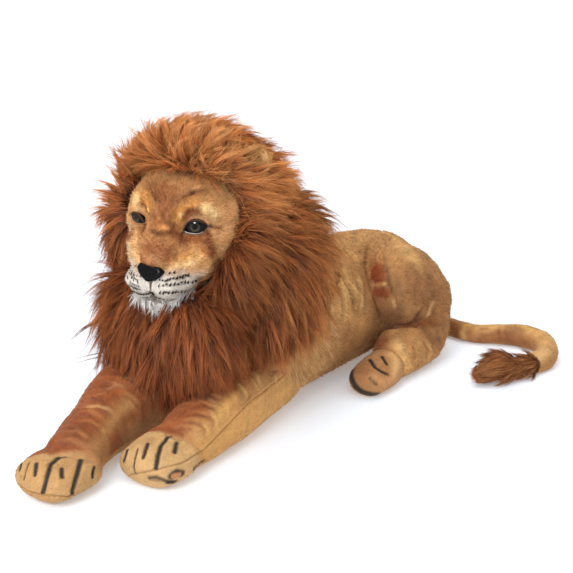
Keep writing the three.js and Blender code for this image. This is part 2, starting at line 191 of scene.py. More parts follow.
def far_from(points, line):
    """Distance of each point from a line of points, and how far along it, 0 to 1."""
    line = np.asarray(line, float).reshape(-1, 3)
    if len(line) == 1:
        return np.linalg.norm(points - line[0], axis=1), np.zeros(len(points))
    best = np.full(len(points), 1e9)
    along = np.zeros(len(points))
    steps = len(line) - 1
    for k in range(steps):
        a, d = line[k], line[k + 1] - line[k]
        t = np.clip((points - a) @ d / max(d @ d, 1e-12), 0, 1)
        gap = np.linalg.norm(points - a - t[:, None] * d, axis=1)
        near = gap < best
        best[near] = gap[near]
        along[near] = ((k + t) / steps)[near]
    return best, along


# Meshes
def new_object(name, verts, faces):
    me = bpy.data.meshes.new(name)
    me.from_pydata([tuple(v) for v in verts], [], [tuple(int(i) for i in f) for f in faces])
    me.update()
    me.polygons.foreach_set("use_smooth", [True] * len(me.polygons))
    return shown(bpy.data.objects.new(name, me))


def applied(ob):
    """ob with its modifiers applied."""
    me = bpy.data.meshes.new_from_object(ob.evaluated_get(bpy.context.evaluated_depsgraph_get()))
    ob.modifiers.clear()
    ob.data = me
    return ob


def smoothed(ob, rounds):
    smooth = ob.modifiers.new("smooth", "SMOOTH")
    smooth.factor = 0.5
    smooth.iterations = rounds


def read(items, key, size, kind=np.float32):
    """One property of a mesh's items, a row of numbers for each item."""
    found = np.empty(len(items) * size, kind)
    items.foreach_get(key, found)
    return found.reshape(-1, size)


def coords(me):
    return read(me.vertices, "co", 3).astype(float)


def vertex_normals(me):
    return read(me.vertex_normals, "vector", 3).astype(float)


def triangles(me):
    me.calc_loop_triangles()
    return read(me.loop_triangles, "vertices", 3, np.int32)


def set_coords(me, v):
    me.vertices.foreach_set("co", np.asarray(v, np.float32).ravel())
    me.update()


def get_tint(me):
    return read(me.color_attributes["tint"].data, "color", 4)[:, :3]


def set_tint(me, tint):
    """Stores a colour for each vertex, or one for them all."""
    layer = me.color_attributes.new("tint", "FLOAT_COLOR", "POINT")
    rgba = np.ones((len(me.vertices), 4), np.float32)
    rgba[:, :3] = np.clip(tint, 0, 1)
    layer.data.foreach_set("color", rgba.ravel())


def faces_of(names):
    """Points and triangles of some CAD nodes together, and each triangle's node."""
    points, faces, owner, base = [], [], [], 0
    for i, name in enumerate(names):
        me = NODES[name].data
        tri = triangles(me)
        points.append(coords(me))
        faces.append(tri + base)
        owner.append(np.full(len(tri), i))
        base += len(me.vertices)
    return np.concatenate(points), np.concatenate(faces), np.concatenate(owner)


def tree_of(points, faces):
    return BVHTree.FromPolygons([Vector(p) for p in points], [tuple(int(i) for i in f) for f in faces])


def tree_of_mesh(me):
    return tree_of(coords(me), [p.vertices for p in me.polygons])


def tree_of_nodes(names):
    return tree_of(*faces_of(names)[:2])


def skin(names, voxel, rounds, extra=None, finer=0):
    """One smooth skin over some CAD nodes, with finer more subdivisions for fine painting."""
    points, faces, _ = faces_of(names)
    if extra is not None:
        faces = np.concatenate([faces, extra[1] + len(points)])
        points = np.concatenate([points, extra[0]])
    ob = new_object("skin", points, faces)
    remesh = ob.modifiers.new("remesh", "REMESH")
    remesh.mode = "VOXEL"
    remesh.voxel_size = voxel
    smoothed(ob, rounds)
    if finer:
        ob.modifiers.new("finer", "SUBSURF").levels = finer
    return applied(ob)


def fillers(eggs, place=lambda p: p):
    """Points and triangles of eggs on both sides. A row is a middle and three half sizes, and place turns
    points from the rows' frame."""
    bpy.ops.mesh.primitive_ico_sphere_add(subdivisions=3, radius=1)
    ball = bpy.context.object
    points, faces = coords(ball.data), np.array([tuple(p.vertices) for p in ball.data.polygons])
    bpy.data.objects.remove(ball)
    found, sides = [], []
    for row in np.asarray(eggs, float):
        for side in SIDES:
            found.append(place((points * row[3:] + row[:3]) * [side, 1, 1]))
            sides.append((faces if side > 0 else faces[:, ::-1]) + len(points) * len(sides))
    return np.concatenate(found), np.concatenate(sides)


def worn(ob, material, nodes=(), body=BODY):
    """Finishes a piece: material and slot, and where given its body and the nodes it stands for."""
    ob.data.materials.clear()
    ob.data.materials.append(material)
    if body:
        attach(ob, body)
    if nodes:
        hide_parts(*nodes)
    return ob


def split(ob, names, finish, hem=0.005):
    """Cuts a skin into one piece for each CAD node, each with a hem turned in along its seams."""
    me = ob.data
    v, n, tint = coords(me), vertex_normals(me), get_tint(me)
    points, faces, owner = faces_of(names)
    tree = tree_of(points, faces)
    polys = [tuple(p.vertices) for p in me.polygons]
    label = np.array([owner[tree.find_nearest(p.center)[2]] for p in me.polygons])
    for i, name in enumerate(names):
        mine = [polys[k] for k in np.flatnonzero(label == i)]
        used = np.unique(np.concatenate([np.array(p) for p in mine]))
        index = {int(u): k for k, u in enumerate(used)}
        mine = [tuple(index[j] for j in p) for p in mine]
        edges = {}
        for p in mine:
            for a, b in zip(p, p[1:] + p[:1]):
                edges[(a, b)] = edges.get((b, a), 0) + 1
                if (b, a) in edges:
                    edges[(b, a)] += 1
        rim = [e for e, c in edges.items() if c == 0]
        inner = sorted({a for e in rim for a in e})
        inner_at = {a: len(used) + k for k, a in enumerate(inner)}
        mine += [(b, a, inner_at[a], inner_at[b]) for a, b in rim]
        hemmed = used[inner]
        piece = new_object(f"{name}_skin", np.concatenate([v[used], v[hemmed] - hem * n[hemmed]]), mine)
        normals = np.concatenate([n[used], n[hemmed]])
        piece.data.normals_split_custom_set_from_vertices([tuple(x) for x in normals])
        set_tint(piece.data, np.concatenate([tint[used], tint[hemmed]]))
        finish(piece, name)
    bpy.data.objects.remove(ob)


# Materials
def dial(node, **values):
    """Sets a node's sockets, each by its name with _ for a space."""
    for name, value in values.items():
        node.inputs[name.replace("_", " ")].default_value = value


def new_material(name):
    """A material of one shader, and that shader."""
    mat = bpy.data.materials.new(name)
    mat.use_nodes = True
    nodes = mat.node_tree.nodes
    nodes.clear()
    shader = nodes.new("ShaderNodeBsdfPrincipled")
    mat.node_tree.links.new(shader.outputs[0], nodes.new("ShaderNodeOutputMaterial").inputs[0])
    return mat, shader


def grain(mat, scale, stretch, detail):
    """Noise in the object's own space, stretched along its axes."""
    nodes, links = mat.node_tree.nodes, mat.node_tree.links
    where, placed, spots = (nodes.new(f"ShaderNode{kind}") for kind in ("TexCoord", "Mapping", "TexNoise"))
    dial(placed, Scale=stretch)
    dial(spots, Scale=scale, Detail=detail)
    links.new(where.outputs["Object"], placed.inputs["Vector"])
    links.new(placed.outputs[0], spots.inputs["Vector"])
    return spots.outputs["Fac"]


def tinted(mat, shader, layers):
    """The piece's own colours, made lighter and darker by noise: (scale, stretch, detail, low, high)."""
    nodes, links = mat.node_tree.nodes, mat.node_tree.links
    colour = nodes.new("ShaderNodeAttribute")
    colour.attribute_name = "tint"
    last = colour.outputs["Color"]
    for scale, stretch, detail, low, high in layers:
        spread, times = nodes.new("ShaderNodeMapRange"), nodes.new("ShaderNodeVectorMath")
        dial(spread, From_Min=0.3, From_Max=0.7, To_Min=low, To_Max=high)
        times.operation = "SCALE"
        links.new(grain(mat, scale, stretch, detail), spread.inputs["Value"])
        links.new(last, times.inputs[0])
        links.new(spread.outputs[0], times.inputs["Scale"])
        last = times.outputs[0]
    links.new(last, shader.inputs["Base Color"])


def bumped(mat, shader, layers):
    """Bump from layers of noise: (scale, stretch, depth in metres)."""
    links = mat.node_tree.links
    before = None
    for scale, stretch, depth in layers:
        bump = mat.node_tree.nodes.new("ShaderNodeBump")
        dial(bump, Strength=1, Distance=depth)
        links.new(grain(mat, scale, stretch, 3), bump.inputs["Height"])
        if before:
            links.new(before, bump.inputs["Normal"])
        before = bump.outputs[0]
    links.new(before, shader.inputs["Normal"])


def cloth_material(name, sheen, sheen_tint):
    """Short pile cloth, with its nap, its fine grain and its sheen."""
    mat, shader = new_material(name)
    nap, fine = (60, (1, 0.35, 1), 3, 0.93, 1.06), (520, (1, 0.3, 1), 2, 0.84, 1.12)
    tinted(mat, shader, [(9, ALL_ROUND, 4, 0.88, 1.10), nap, fine])
    bumped(mat, shader, [(70, (1, 0.5, 1), 0.0012), (480, (1, 0.35, 1), 0.0006)])
    dial(shader, Roughness=0.8, Specular_IOR_Level=0.25)
    dial(shader, Sheen_Weight=sheen, Sheen_Roughness=0.45, Sheen_Tint=(*sheen_tint, 1))
    return mat


def strand_material(name, rough, level):
    mat, shader = new_material(name)
    tinted(mat, shader, [(55, ALL_ROUND, 2, 0.85, 1.12)])
    dial(shader, Roughness=rough, Specular_IOR_Level=level)
    return mat


def gloss_material(name, rough, level, coat):
    """Moulded, polished plastic."""
    mat, shader = new_material(name)
    tinted(mat, shader, [(260, ALL_ROUND, 3, 0.9, 1.1)])
    bumped(mat, shader, [(700, ALL_ROUND, 0.00004)])
    dial(shader, Roughness=rough, Specular_IOR_Level=level, Coat_Weight=coat, Coat_Roughness=0.03)
    return mat


def washer_material():
    """Moulded white plastic, a little uneven."""
    mat, shader = new_material("washer_plastic")
    shade = mat.node_tree.nodes.new("ShaderNodeMix")
    shade.data_type = "RGBA"
    dial(shade, A=(*lin(214, 212, 204), 1), B=(*lin(236, 235, 229), 1))
    mat.node_tree.links.new(grain(mat, 180, ALL_ROUND, 2), shade.inputs["Factor"])
    mat.node_tree.links.new(shade.outputs["Result"], shader.inputs["Base Color"])
    bumped(mat, shader, [(420, ALL_ROUND, 0.00005)])
    dial(shader, Roughness=0.42)
    return mat


# Strands of pile, as real ribbons
def ribbons(name, lines, normals, width, tints, roll, seed):
    """Ribbons along lines, flat to the normals, tapering to points. lines and tints are (count, steps, 3)."""
    count, steps, _ = lines.shape
    along = unit(np.gradient(lines, axis=1))
    side = unit(np.cross(along, normals[:, None, :]))
    lift = unit(np.cross(side, along))
    turn = rng(seed).normal(0, roll, count)[:, None, None]
    side = side * np.cos(turn) + lift * np.sin(turn)
    t = np.linspace(0, 1, steps)
    taper = (0.75 + 0.5 * np.sin(np.pi * np.minimum(t * 1.6, 1)))[None] * (1 - t ** 2.2)[None]
    half = (0.5 * width[:, None] * taper)[..., None]
    pairs = np.stack([(lines - side * half)[:, :-1], (lines + side * half)[:, :-1]], 2).reshape(count, -1, 3)
    verts = np.concatenate([pairs, lines[:, -1:]], 1)
    tint = np.concatenate([np.repeat(tints[:, :-1], 2, 1), tints[:, -1:]], 1)
    per = 2 * (steps - 1) + 1
    quads = np.array([(2 * k, 2 * k + 1, 2 * k + 3, 2 * k + 2) for k in range(steps - 2)])
    tip = np.array([(per - 3, per - 2, per - 1)])
    start = (np.arange(count) * per)[:, None, None]
    quads, tips = (start + quads[None]).reshape(-1, 4), (start + tip[None]).reshape(-1, 3)
    loops = np.concatenate([quads.ravel(), tips.ravel()]).astype(np.int32)
    totals = np.concatenate([np.full(len(quads), 4), np.full(len(tips), 3)]).astype(np.int32)
    me = bpy.data.meshes.new(name)
    for items, wanted in ((me.vertices, count * per), (me.loops, len(loops)), (me.polygons, len(totals))):
        items.add(wanted)
    me.vertices.foreach_set("co", verts.reshape(-1).astype(np.float32))
    me.loops.foreach_set("vertex_index", loops)
    me.polygons.foreach_set("loop_start", np.concatenate([[0], np.cumsum(totals)[:-1]]).astype(np.int32))
    me.polygons.foreach_set("loop_total", totals)
    me.polygons.foreach_set("use_smooth", np.ones(len(totals), bool))
    me.update(calc_edges=True)
    me.validate()
    set_tint(me, tint.reshape(-1, 3))
    return shown(bpy.data.objects.new(name, me))


def scattered(points, faces, keep, count, seed):
    """count points spread over the kept triangles, with their normals, and which triangles they are on."""
    r = rng(seed)
    tri = faces[keep]
    a, b, c = points[tri[:, 0]], points[tri[:, 1]], points[tri[:, 2]]
    cross = np.cross(b - a, c - a)
    area = np.linalg.norm(cross, axis=1)
    pick = r.choice(len(tri), count, p=area / area.sum())
    u, w = r.random((2, count, 1))
    u, w = np.where(u + w > 1, 1 - u, u), np.where(u + w > 1, 1 - w, w)
    return a[pick] + u * (b[pick] - a[pick]) + w * (c[pick] - a[pick]), unit(cross[pick]), pick


def strewn(names, count, seed):
    """count points spread over some CAD nodes, with their normals."""
    points, faces, _ = faces_of(names)
    return scattered(points, faces, np.arange(len(faces)), count, seed)[:2]


def smoothed_normals(at, n, reach=0.030):
    """Normals averaged over the neighbours, so that a faceted solid grows even pile."""
    out = np.empty_like(n)
    batch = 400
    for low in range(0, len(at), batch):
        gap = np.linalg.norm(at[low:low + batch, None] - at[None], axis=2)
        out[low:low + batch] = np.exp(-(gap / reach) ** 2) @ n
    return unit(out)


def locks(roots, normals, ways, lengths, lift, droop, steps, curl, seed):
    """Guide lines: each leaves its root at an angle to the skin and bends over along its way and down."""
    way = unit(tangent(ways, normals) + 1e-6)
    way = unit(way + rng(seed).normal(0, curl, (len(roots), 3)))
    at = roots.copy()
    line = [at]
    for k in range(1, steps):
        t = k / (steps - 1)
        heading = way + normals * (lift * (1 - t) ** 1.5)[:, None] + BELOW * (droop * t ** 1.5)[:, None]
        at = at + unit(heading) * (lengths / (steps - 1))[:, None]
        line.append(at)
    return np.stack(line, 1)


def children(guides, normals, each, radius, clump, seed):
    """Strands round each guide, which draw together towards its tip."""
    r = rng(seed)
    count, steps, _ = guides.shape
    owner = np.repeat(np.arange(count), each)
    total = len(owner)
    across = unit(np.cross(normals, [0.3, 0.5, 0.8]))
    other = np.cross(normals, across)
    angle = r.uniform(0, 2 * np.pi, total)
    reach = radius[owner] * np.sqrt(r.random(total))
    off = across[owner] * (np.cos(angle) * reach)[:, None] + other[owner] * (np.sin(angle) * reach)[:, None]
    t = np.linspace(0, 1, steps)
    short = r.uniform(0.62, 1.08, total)
    place = np.clip(t[None] * short[:, None], 0, 1.2) * (steps - 1)
    low = np.minimum(place.astype(int), steps - 2)
    part = (place - low)[..., None]
    g = guides[owner]
    pick = np.arange(total)[:, None]
    line = g[pick, low] * (1 - part) + g[pick, low + 1] * part
    gather = (1 - clump * t ** 0.8)[None, :, None]
    sway = r.normal(0, 1, (total, 3))[:, None, :] * (radius[owner][:, None, None] * 0.38)
    wave = sway * (t ** 2)[None, :, None]
    return line + off[:, None, :] * gather + wave, owner


# Painted and folded cloth
class Coat:
    """A skin's points, with airbrushed colour, painted light and shade, and sewn or folded relief along lines
    of pixels or points.

    On a coat with a mirror, a line is also put on the other side where both is true."""

    def __init__(self, ob, base, mirror=None, both=False):
        self.ob = ob
        self.v = coords(ob.data)
        self.n = vertex_normals(ob.data)
        self.rise = np.zeros(len(self.v))
        self.tint = np.tile(base, (len(self.v), 1))
        self.tree = tree_of_mesh(ob.data)
        self.mirror = mirror
        self.both = both

    def weights(self, line, reach, both, ends):
        """Which points lie near a line, how far off, and how strong the line is there."""
        line = np.asarray(line, float)
        spots = line if line.shape[-1] == 3 else on_skin(self.tree, thick(line))
        if not len(spots):
            return
        sides = [spots, self.mirror(spots)] if both or self.both else [spots]
        for spots in sides:
            low, high = spots.min(0) - 3 * reach, spots.max(0) + 3 * reach
            near = np.flatnonzero(((self.v > low) & (self.v < high)).all(1))
            if len(near):
                gap, along = far_from(self.v[near], spots)
                yield near, gap, ramp(along, 0, ends) * ramp(1 - along, 0, ends) if ends else 1

    def spray(self, line, reach, colour, strength=1.0, hard=2.0, ends=0.0, both=False):
        """Airbrushed colour and painted light and shade, softer with a lower hard; it fades out over the
        share ends of the line.
        """
        for near, gap, fade in self.weights(line, reach, both, ends):
            self.tint[near] = mixed(self.tint[near], colour, strength * fade * np.exp(-(gap / reach) ** hard))

    def fold(self, line, depth, reach, puff=0.5, ends=0.15, both=False):
        """A groove with a swelling on each side of it."""
        for near, gap, fade in self.weights(line, reach, both, ends):
            dip = np.exp(-(gap / reach) ** 2)
            swell = np.exp(-((gap - 1.9 * reach) / reach) ** 2)
            self.rise[near] += depth * fade * (puff * swell - dip)

    def wash(self, colour, weight):
        """A thin coat of one or more colours, with a weight for each point."""
        self.tint = mixed(self.tint, colour, weight)

    def done(self, warmth=(1.04, 0.985, 0.87)):
        set_coords(self.ob.data, self.v + self.n * self.rise[:, None])
        set_tint(self.ob.data, self.tint * warmth)
        return self.ob


def on_skin(tree, line):
    """Where the camera's rays through some pixels meet a surface."""
    hits = [seen(tree, px, py)[0] for px, py in line]
    return np.array([hit for hit in hits if hit is not None])


def thick(line):
    """More points along a line of pixels, so that its rays follow the surface."""
    if len(line) < 2:
        return line
    found = []
    for a, b in zip(line[:-1], line[1:]):
        steps = max(2, int(np.linalg.norm(b - a) / 2.5))
        found += [a + (b - a) * k / steps for k in range(steps)]
    return np.array(found + [line[-1]])


def plush(ob, name, density, way, long, seed, keep=None, body=BODY):
    """Short plush on a painted skin, in its colours: density hairs per square metre, lying as way says."""
    v, tint, tri = coords(ob.data), get_tint(ob.data), triangles(ob.data)
    middle = v[tri].mean(1)
    wanted = np.flatnonzero((middle[:, 2] > 0.012) & (keep(middle) if keep else True))
    a, b, c = (v[tri[wanted, k]] for k in range(3))
    area = 0.5 * np.linalg.norm(np.cross(b - a, c - a), axis=1).sum()
    at, n, pick = scattered(v, tri, wanted, int(area * density * (1)), seed)
    r = rng(seed)
    own = tint[tri[wanted[pick], 0]]
    lie = unit(tangent(way(at), n) + 1e-6)
    lie = unit(lie + 0.35 * r.normal(0, 1, at.shape))
    lengths = long * r.uniform(0.6, 1.3, len(at))
    t = np.linspace(0, 1, 4)
    line = at[:, None] - 0.0008 * n[:, None]
    line = line + t[None, :, None] * lengths[:, None, None] * (lie + 0.5 * n)[:, None]
    line -= (0.25 * lengths[:, None] * t ** 2)[..., None] * n[:, None]
    shade = r.uniform(0.66, 1.25, len(at))[:, None, None] * (0.84 + 0.26 * t)[None, :, None]
    hairs = ribbons(name, line, n, np.full(len(at), 0.00085), own[:, None] * shade, 0.5, seed + 2)
    return worn(hairs, plush_hair, body=body)


def lies(x, y, z):
    """Pile that lies one way everywhere."""
    return lambda at: np.tile([x, y, z], (len(at), 1))


def across_body(p):
    return p * [-1, 1, 1]


# Colours, as seen on a screen
TAN = lin(180, 134, 84)
PALE = lin(212, 172, 116)
GOLD = lin(204, 154, 86)
BROWN = lin(142, 96, 58)
RUST = lin(136, 68, 24)
DEEP = lin(92, 46, 20)
CREAM = lin(240, 210, 156)
BLACK = lin(20, 16, 14)
INK = lin(12, 9, 8)

short_pile = cloth_material("short_pile", 0.17, (1.0, 0.78, 0.5))
plush_hair = strand_material("plush_hair", 0.65, 0.1)
hair = strand_material("long_pile", 0.62, 0.12)
white_hair = strand_material("white_pile", 0.7, 0.12)
eye_gloss = gloss_material("eye_gloss", 0.3, 0.0, 0.25)
nose_gloss = gloss_material("nose_gloss", 0.34, 0.08, 0.0)
washer_plastic = washer_material()


# Body
def nap(at):
    """The body's pile lies back and down."""
    return np.tile([0.0, 0.8, -0.6], (len(at), 1)) + 0.4 * drift(at, 12, 91)


def rounded_rump(ob):
    """The rump and the heels are rounded off behind, each height to its own reach to the camera's right."""
    v = coords(ob.data)
    heights = [0, 0.03, 0.06, 0.09, 0.13, 0.17, 0.21]
    reaches = [0.262, 0.283, 0.297, 0.303, 0.305, 0.300, 0.290]
    reach = np.abs(v[:, 0]) * RIGHT[0] + v[:, 1] * RIGHT[1]
    over = np.maximum(reach - np.interp(v[:, 2], heights, reaches), 0) * ramp(v[:, 2], 0.24, 0.18) * 0.9
    v[:, 0] -= np.sign(v[:, 0]) * over * RIGHT[0]
    v[:, 1] -= over * RIGHT[1]
    set_coords(ob.data, v)


def haunch(coat):
    """The seams, creases and rust patches of the thigh, and where it lies over the lower leg."""
    seam_line = [(372, 238), (365.5, 252), (364.5, 266), (368.8, 285.5), (375.5, 305), (381, 323)]
    coat.spray([(379, 256), (376, 276), (380, 298)], 0.022, lin(160, 108, 66), 0.85)
    coat.spray([(377.5, 271), (378.5, 277)], 0.0165, lin(138, 64, 14), 1.0, hard=6)
    coat.spray([(378, 291), (385, 292)], 0.0110, lin(138, 66, 16), 1.0, hard=6)
    coat.spray([(374, 304), (380, 314)], 0.016, BROWN, 0.5)
    coat.fold(seam_line, 0.003, 0.0040, 0.35)
    coat.spray(seam_line, 0.0026, DEEP, 0.6, ends=0.1)
    coat.fold([(382, 247), (385, 268), (391, 290), (397, 312)], 0.0026, 0.005, 0.8)
    coat.spray([(382, 244), (384, 256)], 0.0030, PALE, 0.6, ends=0.3)
    # a painted highlight on the lower end of the fold behind the seam
    coat.spray([(392.5, 296), (394, 303), (396, 309)], 0.0030, PALE, 0.85, ends=0.3)
    # a crease between the rust patches, with a painted highlight on it and painted shade just under it
    coat.fold([(371, 284), (383, 282), (390, 283)], 0.003, 0.004)
    coat.spray([(371, 285.5), (378, 284), (388, 283.5)], 0.0034, lin(214, 156, 100), 1.0, ends=0.2)
    coat.spray([(370, 287.5), (378, 286.5), (389, 286.5)], 0.0022, DEEP, 0.7, ends=0.2)
    coat.spray([(387, 266), (388.5, 276), (389, 282), (391.5, 290), (392, 297)],
               0.0024, DEEP, 0.75, ends=0.1)
    coat.spray([(371, 266), (376, 263), (382, 266)], 0.0022, DEEP, 0.4, ends=0.3)
    # thigh over the lower leg, with painted shade along the crease
    crease = [(382, 333), (394, 331), (405, 328), (420, 326), (436, 325), (451, 326)]
    coat.fold(crease[:4], 0.009, 0.007, 0.5, 0.2)
    coat.spray(crease, 0.005, DEEP, 0.45, ends=0.2)
    coat.fold([(412, 234), (430, 252), (440, 274)], 0.006, 0.024, 0.0, 0.3)
    coat.spray([(405, 326), (432, 322)], 0.012, RUST, 0.5)
    # a fold with a painted highlight behind it and painted shade in front of it
    coat.fold([(410, 325), (416, 317), (422, 308), (424, 300)], 0.006, 0.006)
    coat.spray([(424, 320), (429, 308), (435, 298)], 0.0060, PALE, 0.8, ends=0.3)
    coat.spray([(404, 326), (414, 318), (421, 309)], 0.0065, lin(104, 60, 32), 0.8, ends=0.25)
    coat.spray([(400, 265), (404, 285), (410, 300)], 0.010, lin(160, 114, 72), 0.5, ends=0.3)
    coat.fold([(424, 321), (433, 317), (440, 318)], 0.004, 0.005)


def flank(coat):
    """Folds behind the mane, each with painted shade in its groove and a painted highlight on its rear side.
    """
    for line in ([(331, 264), (340, 276), (347, 290), (349, 304)],
                 [(328, 278), (337, 290), (341, 306), (340, 326)],
                 [(345, 285), (351, 297), (351, 314)], [(352, 268), (357, 290), (356, 316)],
                 [(333, 248), (348, 256), (358, 268)], [(318, 290), (326, 308), (328, 330)]):
        coat.fold(line, 0.0062, 0.006, 0.8, 0.3)
        coat.spray(np.array(line) + [2.8, 0], 0.0035, PALE, 0.7, ends=0.3)
        coat.spray(line, 0.0045, BROWN, 0.75, ends=0.3)


def lower_leg(coat):
    """Folds and shades of the lower leg, as it runs to the paw."""
    for line in ([(412, 338), (418, 352), (415, 368)], [(428, 336), (435, 349), (431, 363)]):
        coat.fold(line, 0.003, 0.007, 0.8, 0.3)
    coat.spray([(363, 350), (372, 344), (386, 342)], 0.013, RUST, 0.85)
    for line in ([(394, 340), (400, 356), (398, 372)], [(406, 338), (413, 352), (410, 370)],
                 [(419, 338), (427, 350), (424, 364)], [(436, 334), (440, 344), (436, 354)]):
        coat.spray(line, 0.0036, lin(136, 86, 46), 0.75, ends=0.35)
        coat.spray(np.array(line) + [4, 0], 0.0034, PALE, 0.5, ends=0.35)
    coat.spray([(396, 346), (402, 354), (404, 366)], 0.012, PALE, 0.7)
    coat.spray([(424, 336), (438, 340), (446, 336)], 0.012, BROWN, 0.7)


def body_skin():
    """Torso, neck, thighs and lower hind legs as one painted skin, cut at its seams."""
    names = ["torso", "neck", "thigh_left", "thigh_right", "hind_leg_left", "hind_leg_right"]
    filler = fillers([[*TAIL_ROOT, 0.028, 0.028, 0.028], [0.165, 0.226, 0.120, 0.037, 0.040, 0.056],
                      [0.176, 0.210, 0.086, 0.028, 0.050, 0.024]])
    ob = skin(names, 0.005, 18, filler)
    rounded_rump(ob)
    coat = Coat(ob, TAN, across_body, True)
    v = coat.v
    coat.rise += 0.0014 * noise(v, 14, 2) + 0.0010 * noise(v * [1, 0.6, 1], 38, 3) + 0.0030
    # paler high on the back, painted light from above, and browner in patches low down, painted shade
    coat.wash(PALE, 0.60 * ramp(v[:, 2], 0.2, 0.30))
    coat.wash(BROWN, 0.50 * ramp(noise(v, 9, 1), -0.1, 0.6) * ramp(v[:, 2], 0.28, 0.2))
    coat.wash(BROWN, 0.35 * ramp(noise(v, 30, 5), 0.0, 0.7))
    # painted shade behind the cape, the low flank, and the brown of the haunch with its pale edge, a painted
    # highlight
    coat.spray([(300, 312), (298, 326)], 0.026, RUST, 0.3)
    coat.spray([(330, 262), (338, 284), (338, 306)], 0.036, lin(214, 168, 112), 0.8)
    coat.spray([(338, 326), (350, 336), (360, 340)], 0.022, BROWN, 0.40)
    coat.spray([(412, 282), (425, 290), (436, 302), (442, 318)], 0.046, BROWN, 0.90)
    # painted shade above the crease where the thigh lies over the lower leg
    coat.spray([(388, 312), (398, 322), (420, 324)], 0.030, lin(120, 76, 46), 0.85)
    coat.spray([(400, 228), (430, 246), (448, 274), (458, 306)], 0.014, PALE, 0.8)
    coat.spray([(395, 240), (405, 250), (416, 262)], 0.016, PALE, 0.5)
    haunch(coat)
    flank(coat)
    lower_leg(coat)
    streak = noise(v * [1, 0.5, 0.35], 130, 6) + 0.7 * noise(v * [1, 1, 0.5], 70, 16)
    streak = 0.19 * streak * ramp(v[:, 1], -0.05, 0.05)
    coat.tint *= (1.06 + streak + 0.09 * noise(v, 60, 4) + 0.10 * noise(v, 210, 17))[:, None]
    ob = coat.done()
    plush(ob, "body_plush", 130000, nap, 0.0070, 3100, lambda middle: middle[:, 1] > -0.16)
    split(ob, names, lambda o, n: worn(o, short_pile, [n]))


# Forelegs and paws
SHADED_FOLDS = {  # dark folds across the top of each foreleg
    "left": [
        [(206, 372.5), (223.5, 370.6), (237, 378.3), (248.4, 391.7)],
        [(202.5, 382), (217.8, 378.3), (231.2, 386), (242.7, 397.4)],
        [(198.7, 391.7), (214, 386), (227.4, 393.6), (235, 403)],
        [(193, 401), (208, 395.5), (221.6, 401), (229.3, 410.8)],
        [(187.2, 410.8), (202.5, 405), (215.9, 409.8), (223.5, 418.4)],
        [(183.4, 420.4), (196.8, 414.6), (210.2, 417.5), (217.8, 424.2)],
        [(175.7, 426), (191, 422.3), (202.5, 424.2), (210, 430)],
        [(170, 431.8), (183.4, 429), (196.8, 431.8)],
        [(216, 363), (232, 362), (246, 371), (258, 386)],
        [(236, 358), (250, 362), (262, 376)],
        [(256, 356), (266, 364), (272, 378)],
    ],
    "right": [
        [(87.7, 380), (101, 387), (122, 386)],
        [(80, 396), (96, 399), (112, 396)],
        [(66.7, 424), (91.5, 424), (114.5, 439.5)],
        [(57, 435.7), (78, 433.8), (97.3, 447)],
        [(70, 416), (90, 414), (108, 424)],
        [(54, 444), (72, 443), (88, 452)],
        [(118, 394), (132, 399), (142, 410)],
    ],
}
WRISTS = {
    "left": [(164, 433), (174, 436), (184, 440)],
    "right": [(44, 453), (61, 455), (80, 457), (98, 460)],
}
MIDDLES = {  # X of each foreleg's middle, from the wrist back
    "left": [0.108, 0.104, 0.095, 0.080],
    "right": [-0.035, -0.05, -0.064, -0.066],
}


